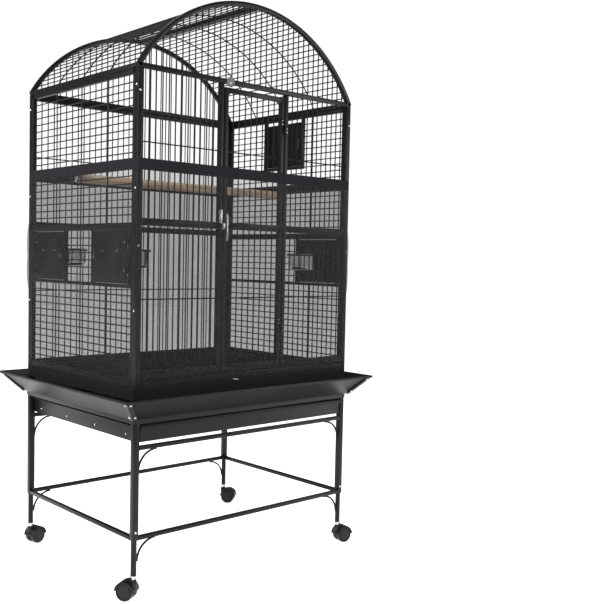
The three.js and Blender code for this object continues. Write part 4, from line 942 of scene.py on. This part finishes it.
# ---- Door knobs -------------------------------------------------------------------------
# A black moulded knob with a ribbed rim turns a flat steel cam behind each small door.
# A bright screw in the middle of the knob holds the two together.
KNOB_RADIUS = 0.009
KNOB_THICK = 0.005
KNOB_DISH = 0.0014
KNOB_RIBS = 12
KNOB_SCREW = 0.0030
CAM_THICK = 0.002
CAM_HALF_WIDE = 0.004
CAM_REACH = 0.018
knob_plastic = surface("knob_plastic", NYLON_GROUP,
                       {"Deep": (0.006, 0.006, 0.0065, 1), "Light": (0.016, 0.016, 0.017, 1),
                        "Grain": 800.0, "Drift": 60.0, "Roughness": 0.30}, (0.15, 0.0002))
for hatch in HATCHES:
    s, half = hatch["side"], HATCH_WIDTH / 2
    body = f"{hatch['name']}_knob"
    knob_y = hatch["y"] - hatch["hinge"] * (half - KNOB_INSET)
    centre_z = hatch["foot"] + hatch["tall"] / 2
    out = Matrix.Translation((s * HALF_WIDTH, knob_y, centre_z)) @ Matrix.Rotation(s * pi / 2, 4, "Y")
    knob = bmesh.new()
    dish = KNOB_THICK - KNOB_DISH
    turned(knob, [(0, FIT), (KNOB_RADIUS * 0.94, FIT), (KNOB_RADIUS, 0.0010), (KNOB_RADIUS, dish),
                  (KNOB_RADIUS * 0.93, KNOB_THICK - 0.0004), (KNOB_RADIUS * 0.80, KNOB_THICK),
                  (KNOB_RADIUS * 0.42, KNOB_THICK - 0.0005), (KNOB_RADIUS * 0.38, dish), (0, dish)], out, 36)
    turned(knob, [(0, 0.0006), (0.0029, 0.0006), (0.0029, -0.0136), (0, -0.0136)], out, 16)
    for step in range(KNOB_RIBS):
        a = 2 * pi * step / KNOB_RIBS
        place = out @ Vector(((KNOB_RADIUS - 0.0003) * cos(a), (KNOB_RADIUS - 0.0003) * sin(a), 0))
        rod(knob, place + Vector((s * 0.0010, 0, 0)), place + Vector((s * dish, 0, 0)), 0.0006, 6)
    tube(knob, (s * (WALL_IN - FIT - CAM_THICK), knob_y - CAM_HALF_WIDE, centre_z - CAM_REACH),
         (s * (WALL_IN - FIT), knob_y + CAM_HALF_WIDE, centre_z + CAM_REACH), 0.0008)
    finished(knob, f"{hatch['name']}_knob_grip", body, knob_plastic, "knob_plastic", body)
    bolt = bmesh.new()
    screw(bolt, (s * (HALF_WIDTH + dish), knob_y, centre_z), (s, 0, 0), KNOB_SCREW)
    finished(bolt, f"{hatch['name']}_knob_screw", body, zinc_plate, "latch_chrome")

# ---- Food cups --------------------------------------------------------------------------
# Spun stainless bowls with a wide rolled lip that hangs on the feeder ring.
# The steel is polished, with the faint rings that spinning leaves.
CUP_LIP = 0.006
CUP_DEEP = 0.052
CUP_WALL = 0.0012
CUP_BEND = 0.014

cup_group = surface_group("spun_steel_grain", (0.4, 0.4, 9))
cup_steel = surface("cup_steel", cup_group,
                    {"Deep": (0.42, 0.42, 0.43, 1), "Light": (0.66, 0.66, 0.67, 1), "Grain": 220.0,
                     "Drift": 18.0, "Roughness": 0.12, "Spread": 0.08}, (0.06, 0.0001), Metallic=1.0)
for hatch in filter(has_cup, HATCHES):
    name = hatch["name"].replace("feeder_", "cup_")
    ring_top = hatch["foot"] + hatch["tall"] - RING_DROP
    cup = bmesh.new()
    floor_r = CUP_RADIUS - CUP_BEND
    arc = [(floor_r + CUP_BEND * sin(a), -CUP_DEEP + CUP_BEND - CUP_BEND * cos(a))
           for a in [pi / 2 * step / 7 for step in range(8)]]
    lip = CUP_RADIUS + CUP_LIP
    outer = [(0, -CUP_DEEP + 0.0016), (floor_r - 0.004, -CUP_DEEP + 0.0016), (floor_r - 0.002, -CUP_DEEP),
             *arc, (CUP_RADIUS, -0.0016), (CUP_RADIUS + 0.0004, FIT), (lip - 0.001, FIT),
             (lip - 0.0003, FIT + 0.0003), (lip, FIT + 0.0010), (lip - 0.0003, FIT + 0.0017),
             (lip - 0.001, FIT + 0.0020)]
    inner = [(CUP_RADIUS + 0.0016, FIT + 0.0016), (CUP_RADIUS, FIT + 0.0009), (CUP_RADIUS - CUP_WALL, -0.0016),
             *[(r - CUP_WALL * 0.8, z + CUP_WALL * 0.8) for r, z in reversed(arc)],
             (0, -CUP_DEEP + CUP_WALL + 0.0016)]
    ring_x = hatch["side"] * (HALF_WIDTH - RING_OUT)
    turned(cup, outer + inner, Matrix.Translation((ring_x, hatch["y"], ring_top)), 56)
    finished(cup, f"{name}_bowl", name, cup_steel, "cup_steel", name)

# ---- Perch ------------------------------------------------------------------------------
# A 28 mm hardwood dowel with eased ends, held across the cage by a bolt and washer a side.
# It is bare and sanded, with a straight grain along it and a few darker streaks.
perch_low, perch_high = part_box("perch")
perch_y = (perch_low[1] + perch_high[1]) / 2
perch_z = (perch_low[2] + perch_high[2]) / 2
PERCH_RADIUS = 0.014
PERCH_EASE = 0.0016
PORES = 1500.0
perch_end = WIRE_LINE - WIRE / 2 - FIT

wood_tree, given, put_out = effect_group(
    "dowel_grain", {"Deep": (0.34, 0.225, 0.140, 1), "Light": (0.62, 0.470, 0.340, 1), "Rings": 95.0},
    ("Colour", "Roughness", "Height"))
place = add_node(wood_tree, "TexCoord").outputs["Object"]
along = add_node(wood_tree, "Mapping", {"Vector": place, "Scale": (0.035, 1, 1)})
rings = noise(wood_tree, along, given["Rings"], 5.0, Distortion=0.6)
pores = noise(wood_tree, along, PORES, 2.0)
both = maths(wood_tree, "MULTIPLY_ADD", pores, 0.35, rings)
share = ranged(wood_tree, both, from_min=0.45, from_max=0.9)
put_out(Colour=deep_to_light(wood_tree, share, given), Height=both,
        Roughness=ranged(wood_tree, share, to_min=0.78, to_max=0.60))
dowel_wood = surface("dowel_wood", wood_tree, {}, (0.35, 0.0004))

dowel = bmesh.new()
sideways = Matrix.Translation((0, perch_y, perch_z)) @ Matrix.Rotation(pi / 2, 4, "Y")
eased_end = perch_end - PERCH_EASE
turned(dowel, [(0, -perch_end), (PERCH_RADIUS - PERCH_EASE, -perch_end),
               *[(PERCH_RADIUS, eased_end * (step / 6 - 1)) for step in range(13)],
               (PERCH_RADIUS - PERCH_EASE, perch_end), (0, perch_end)], sideways, 40)
finished(dowel, "perch_dowel", "frame", dowel_wood, "perch_wood", "perch")
washers = bmesh.new()
for s in (-1, 1):
    face = WIRE_LINE + WIRE / 2 + FIT
    facing = Matrix.Translation((s * face, perch_y, perch_z)) @ Matrix.Rotation(s * pi / 2, 4, "Y")
    turned(washers, [(0, 0), (0.0114, 0), (0.012, 0.0005), (0.012, 0.0011), (0.0114, 0.0016), (0, 0.0016)],
           facing, 32)
    turned(washers, [(0, -0.004), (0.0028, -0.004), (0.0028, 0.0010), (0, 0.0010)], facing, 12)
    turned(washers, [(0, 0.0012), (0.0052, 0.0012), (0.0052, 0.0024), (0.0044, 0.0028), (0, 0.0028)], facing, 6)
finished(washers, "perch_washers", "frame", zinc_plate, "latch_chrome")

# ---- Seed net ---------------------------------------------------------------------------
# A sleeve of soft black stretch mesh, knitted with small openings and pulled over the lower
# body. It lies on the posts and wires, and tents over the latch, the hinges and the knobs.
NET_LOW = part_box("net_skirt")[0][2]
NET_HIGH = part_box("net_skirt")[1][2]
NET_CORNER = 0.004
NET_HEM = 0.004
NET_COLUMNS = 360
NET_ROWS = 44
NET_OFF = 0.0008
GATHER = 0.0006
TENT_REACH = 0.080


def rim_point(share, out):
    """A place a share of the way round the cage's rounded outline, and how far along its side that is."""
    wide, deep = 2 * (HALF_WIDTH - NET_CORNER), 2 * (HALF_DEPTH - NET_CORNER)
    arc = pi / 2 * NET_CORNER
    travel = (share % 1.0) * (2 * wide + 2 * deep + 4 * arc)
    sides = ((wide, (-1, -1), (1, 0)), (deep, (1, -1), (0, 1)),
             (wide, (1, 1), (-1, 0)), (deep, (-1, 1), (0, -1)))
    for length, (cx, cy), (dx, dy) in sides:
        start = Vector((cx * (HALF_WIDTH - NET_CORNER), cy * (HALF_DEPTH - NET_CORNER)))
        normal = Vector((dy, -dx))
        if travel <= length:
            return start + Vector((dx, dy)) * travel + normal * (NET_CORNER + out), travel / length
        travel -= length
        if travel <= arc:
            hub = start + Vector((dx, dy)) * length
            turn = Matrix.Rotation(travel / arc * pi / 2, 2)
            return hub + turn @ normal * (NET_CORNER + out), 0.0
        travel -= arc
    return rim_point(0.0, out)


def tent(place, z, peaks):
    """How far the hardware under it pushes the net out at one place, as a stretched cloth slopes."""
    most = 0.0
    for (low, high), height, reach in peaks:
        gap = sqrt(sum(max(a - v, 0, v - b) ** 2 for v, a, b in zip((place.x, place.y, z), low, high)))
        slope = max(0.0, 1 - gap / reach)
        most = max(most, height * slope * slope * (3 - 2 * slope))
    return most


# each peak is the box of one piece of hardware, how far it stands out, and how far its tent reaches
PEAKS = [(((-UPRIGHT_OUT - 0.004, FRONT - 0.02, LEVER_Z - 0.046),
           (LEVER_X + 0.010, FRONT + 0.01, LEVER_Z + 0.056)), 0.0180, 0.110),
         (((HALF_DOOR - 0.013, FRONT - 0.02, DOOR_HINGES_Z[0] - 0.002),
           (UPRIGHT_OUT, FRONT + 0.01, DOOR_HINGES_Z[0] + 0.047)), 0.0105, 0.090)]
for hatch in filter(has_cup, HATCHES):
    face = sorted(hatch["side"] * (HALF_WIDTH + off) for off in (-0.01, 0.02))
    knob_y = hatch["y"] - hatch["hinge"] * (HATCH_WIDTH / 2 - KNOB_INSET)
    centre_z = hatch["foot"] + hatch["tall"] / 2
    under = [(hatch_axis(hatch)[1], 0.014, z - 0.003, z + 0.028, 0.0100) for z in hatch_hinges(hatch)]
    for y, half, low, high, stands in [*under, (knob_y, 0.010, centre_z - 0.010, centre_z + 0.010, 0.0082)]:
        PEAKS.append((((face[0], y - half, low), (face[1], y + half, high)), stands, TENT_REACH))


def sleeve(low, high, rows, out):
    """A seamless strip round the cage, its UV map in metres along it and up it."""
    bm = bmesh.new()
    bm.loops.layers.uv.new("weave")
    bmesh.ops.create_grid(bm, x_segments=NET_COLUMNS, y_segments=rows, size=0.5, calc_uvs=True)
    uv = bm.loops.layers.uv["weave"]
    round_length = 4 * (HALF_WIDTH + HALF_DEPTH)
    for face in bm.faces:
        for loop in face.loops:
            share, up = loop.vert.co.x + 0.5, loop.vert.co.y + 0.5
            loop[uv].uv = (share * round_length, low + up * (high - low))
    for vert in bm.verts:
        share, up = vert.co.x + 0.5, vert.co.y + 0.5
        z = low + up * (high - low)
        flat, along = rim_point(share, 0.0)
        place, _ = rim_point(share, out(share, along, flat, z))
        vert.co = (place.x, place.y, z)
    bmesh.ops.remove_doubles(bm, verts=bm.verts, dist=1e-5)
    return bm


def ripples(share, fine, coarse, shift):
    """Two waves round the sleeve multiplied, so that no two ripples are alike."""
    return sin(2 * pi * share * fine) * sin(2 * pi * share * coarse + shift)


def net_out(share, along, flat, z):
    """The net's stand-off: small gathers by the bands, and tents over the hardware it is pulled across."""
    rise = (z - NET_LOW) / (NET_HIGH - NET_LOW)
    edge = exp(-(1 - rise) / 0.10) + 0.6 * exp(-rise / 0.08)
    gathers = GATHER * edge * (1 + ripples(share, 93, 37, 1.3)) if along else 0
    return NET_OFF + gathers + tent(flat, z, PEAKS)


weave_tree, given, put_out = effect_group(
    "net_weave", {"Deep": (0.006, 0.006, 0.007, 1), "Light": (0.020, 0.020, 0.023, 1), "Pitch": 850.0,
                  "Gap": 0.24, "Thread": 0.56}, ("Colour", "Roughness", "Height", "Cover"))
uv = add_node(weave_tree, "UVMap", uv_map="weave")
turned_uv = add_node(weave_tree, "Mapping", {"Vector": uv, "Rotation": (0, 0, pi / 4)})
split = add_node(weave_tree, "SeparateXYZ", {0: turned_uv})
threads = []
for axis in ("X", "Y"):
    cells = maths(weave_tree, "MULTIPLY", split.outputs[axis], given["Pitch"])
    threads.append(ranged(weave_tree, maths(weave_tree, "PINGPONG", cells, 1.0), from_min=0.42, from_max=0.72))
knit = maths(weave_tree, "MAXIMUM", *threads)
loose = ranged(weave_tree, noise(weave_tree, uv, 14.0, 3.0), to_min=-0.05, to_max=0.05)
cover = ranged(weave_tree, knit, to_min=given["Gap"], to_max=given["Thread"])
put_out(Colour=deep_to_light(weave_tree, knit, given), Height=knit,
        Roughness=ranged(weave_tree, knit, to_min=0.9, to_max=0.7),
        Cover=maths(weave_tree, "ADD", cover, loose))
net_mesh = surface("seed_net_mesh", weave_tree, {}, (0.3, 0.0002), Specular_IOR_Level=0.2,
                   Sheen_Weight=0.04, Sheen_Roughness=0.5)
effect = next(n for n in net_mesh.node_tree.nodes if n.type == "GROUP")
shader = next(n for n in net_mesh.node_tree.nodes if n.type == "BSDF_PRINCIPLED")
net_mesh.node_tree.links.new(effect.outputs["Cover"], shader.inputs["Alpha"])

net = finished(sleeve(NET_LOW - NET_HEM, NET_HIGH + NET_HEM, NET_ROWS, net_out), "seed_net", "frame",
               net_mesh, "net_mesh", "net_skirt")

# ---- Elastic bands ----------------------------------------------------------------------
# Two heavy bands of black woven elastic, ribbed along their length, sewn over the net's top
# and foot. They hold it tight round the posts.
BAND_THICK = 0.0016
BAND_EDGE = 0.0006
BAND_OFF = 0.0014


def band_out(share, along, *place):
    """The bands' stand-off: a faint ripple, except round the corners."""
    return BAND_OFF + (0.00025 * ripples(share, 61, 17, 0.7) if along else 0)


band_tree, given, put_out = effect_group(
    "elastic_rib", {"Deep": (0.0025, 0.0022, 0.0030, 1), "Light": (0.0220, 0.0195, 0.0250, 1),
                    "Ribs": 2600.0, "Picks": 4200.0}, ("Colour", "Roughness", "Height"))
uv = add_node(band_tree, "UVMap", uv_map="weave")
split = add_node(band_tree, "SeparateXYZ", {0: uv})
waves = [maths(band_tree, "SINE", maths(band_tree, "MULTIPLY", split.outputs[axis], given[label]))
         for axis, label in (("Y", "Ribs"), ("X", "Picks"))]
fuzz = noise(band_tree, uv, 210.0, 5.0, Roughness=0.75)
relief = maths(band_tree, "MULTIPLY_ADD", maths(band_tree, "ADD", *waves), 0.25, fuzz)
share = ranged(band_tree, relief, from_min=0.2, from_max=0.95)
put_out(Colour=deep_to_light(band_tree, share, given), Height=relief,
        Roughness=ranged(band_tree, share, to_min=0.95, to_max=0.75))
elastic = surface("band_elastic", band_tree, {}, (0.5, 0.0004), Specular_IOR_Level=0.12,
                  Sheen_Weight=0.05, Sheen_Roughness=0.4)

for name in ("top", "foot"):
    low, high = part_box(f"net_band_{name}")
    band = finished(sleeve(low[2] + BAND_EDGE, high[2] - BAND_EDGE, 6, band_out),
                    f"net_{name}_elastic", "frame", elastic, "net_elastic", f"net_band_{name}")
    thick = band.modifiers.new("thickness", "SOLIDIFY")
    thick.thickness = BAND_THICK
    thick.offset = 0
    soft = band.modifiers.new("soft_edges", "BEVEL")
    soft.width = BAND_EDGE
    soft.segments = 2
    soft.limit_method = "ANGLE"

# ---- Studio -----------------------------------------------------------------------------
# A plain white floor, four large soft lights, and a surround that shows white behind the cage
# but lights it only a little. None of it is part of the cage.
FLOOR_RADIUS = 14
FLOOR_DROP = 0.0002
FLOOR_GLOW = 0.90
WHITE_BEHIND = 1.05
SURROUND_LIGHT = 0.20
CAMERA_PLACE = (-1.6777, -2.3368, 0.9445)
CAMERA_TURN, CAMERA_TILT, CAMERA_ROLL = radians(-42.903), radians(90 - 2.756), radians(1.242)
AIM = Vector((0, 0, 0.9))

floor_material = bpy.data.materials.new("studio_floor")
floor_material.use_nodes = True
floor_shader = floor_material.node_tree.nodes["Principled BSDF"]
floor_shader.inputs["Base Color"].default_value = (0.92, 0.92, 0.92, 1)
floor_shader.inputs["Roughness"].default_value = 0.9
floor_shader.inputs["Emission Color"].default_value = (1, 1, 1, 1)
floor_shader.inputs["Emission Strength"].default_value = FLOOR_GLOW
bm = bmesh.new()
bmesh.ops.create_circle(bm, cap_ends=True, segments=96, radius=FLOOR_RADIUS)
bmesh.ops.translate(bm, verts=bm.verts, vec=(0, 0, -FLOOR_DROP))
mesh = bpy.data.meshes.new("studio_floor")
bm.to_mesh(mesh)
bm.free()
mesh.materials.append(floor_material)
floor = bpy.data.objects.new("studio_floor", mesh)
bpy.context.scene.collection.objects.link(floor)

world = bpy.data.worlds.new("studio")
world.use_nodes = True
tree = world.node_tree
tree.nodes.clear()
bright, even = (add_node(tree, "Background", {"Color": (1, 1, 1, 1), "Strength": strength})
                for strength in (WHITE_BEHIND, SURROUND_LIGHT))
seen = add_node(tree, "LightPath").outputs["Is Camera Ray"]
add_node(tree, "OutputWorld", {"Surface": add_node(tree, "MixShader", {0: seen, 1: even, 2: bright})})
bpy.context.scene.world = world

for name, place, size, power in (("key", (-2.6, -3.4, 3.0), 1.6, 130), ("side", (-3.6, 0.6, 2.2), 1.6, 70),
                                 ("fill", (3.0, -3.0, 1.8), 1.8, 48), ("top", (0.3, 0.4, 4.2), 2.4, 90)):
    lamp = bpy.data.lights.new(name, "AREA")
    lamp.shape = "SQUARE"
    lamp.size = size
    lamp.energy = power
    light = bpy.data.objects.new(name, lamp)
    light.location = place
    light.rotation_euler = (AIM - Vector(place)).to_track_quat("-Z", "Y").to_euler()
    bpy.context.scene.collection.objects.link(light)

lens = bpy.data.cameras.new("camera")
lens.lens = 51.97
lens.sensor_width = 36
lens.sensor_fit = "AUTO"
camera = bpy.data.objects.new("camera", lens)
camera.matrix_world = (Matrix.Translation(CAMERA_PLACE) @ Matrix.Rotation(CAMERA_TURN, 4, "Z")
                       @ Matrix.Rotation(CAMERA_TILT, 4, "X") @ Matrix.Rotation(CAMERA_ROLL, 4, "Z"))
bpy.context.scene.collection.objects.link(camera)
bpy.context.scene.camera = camera
bpy.context.scene.view_settings.view_transform = "Standard"
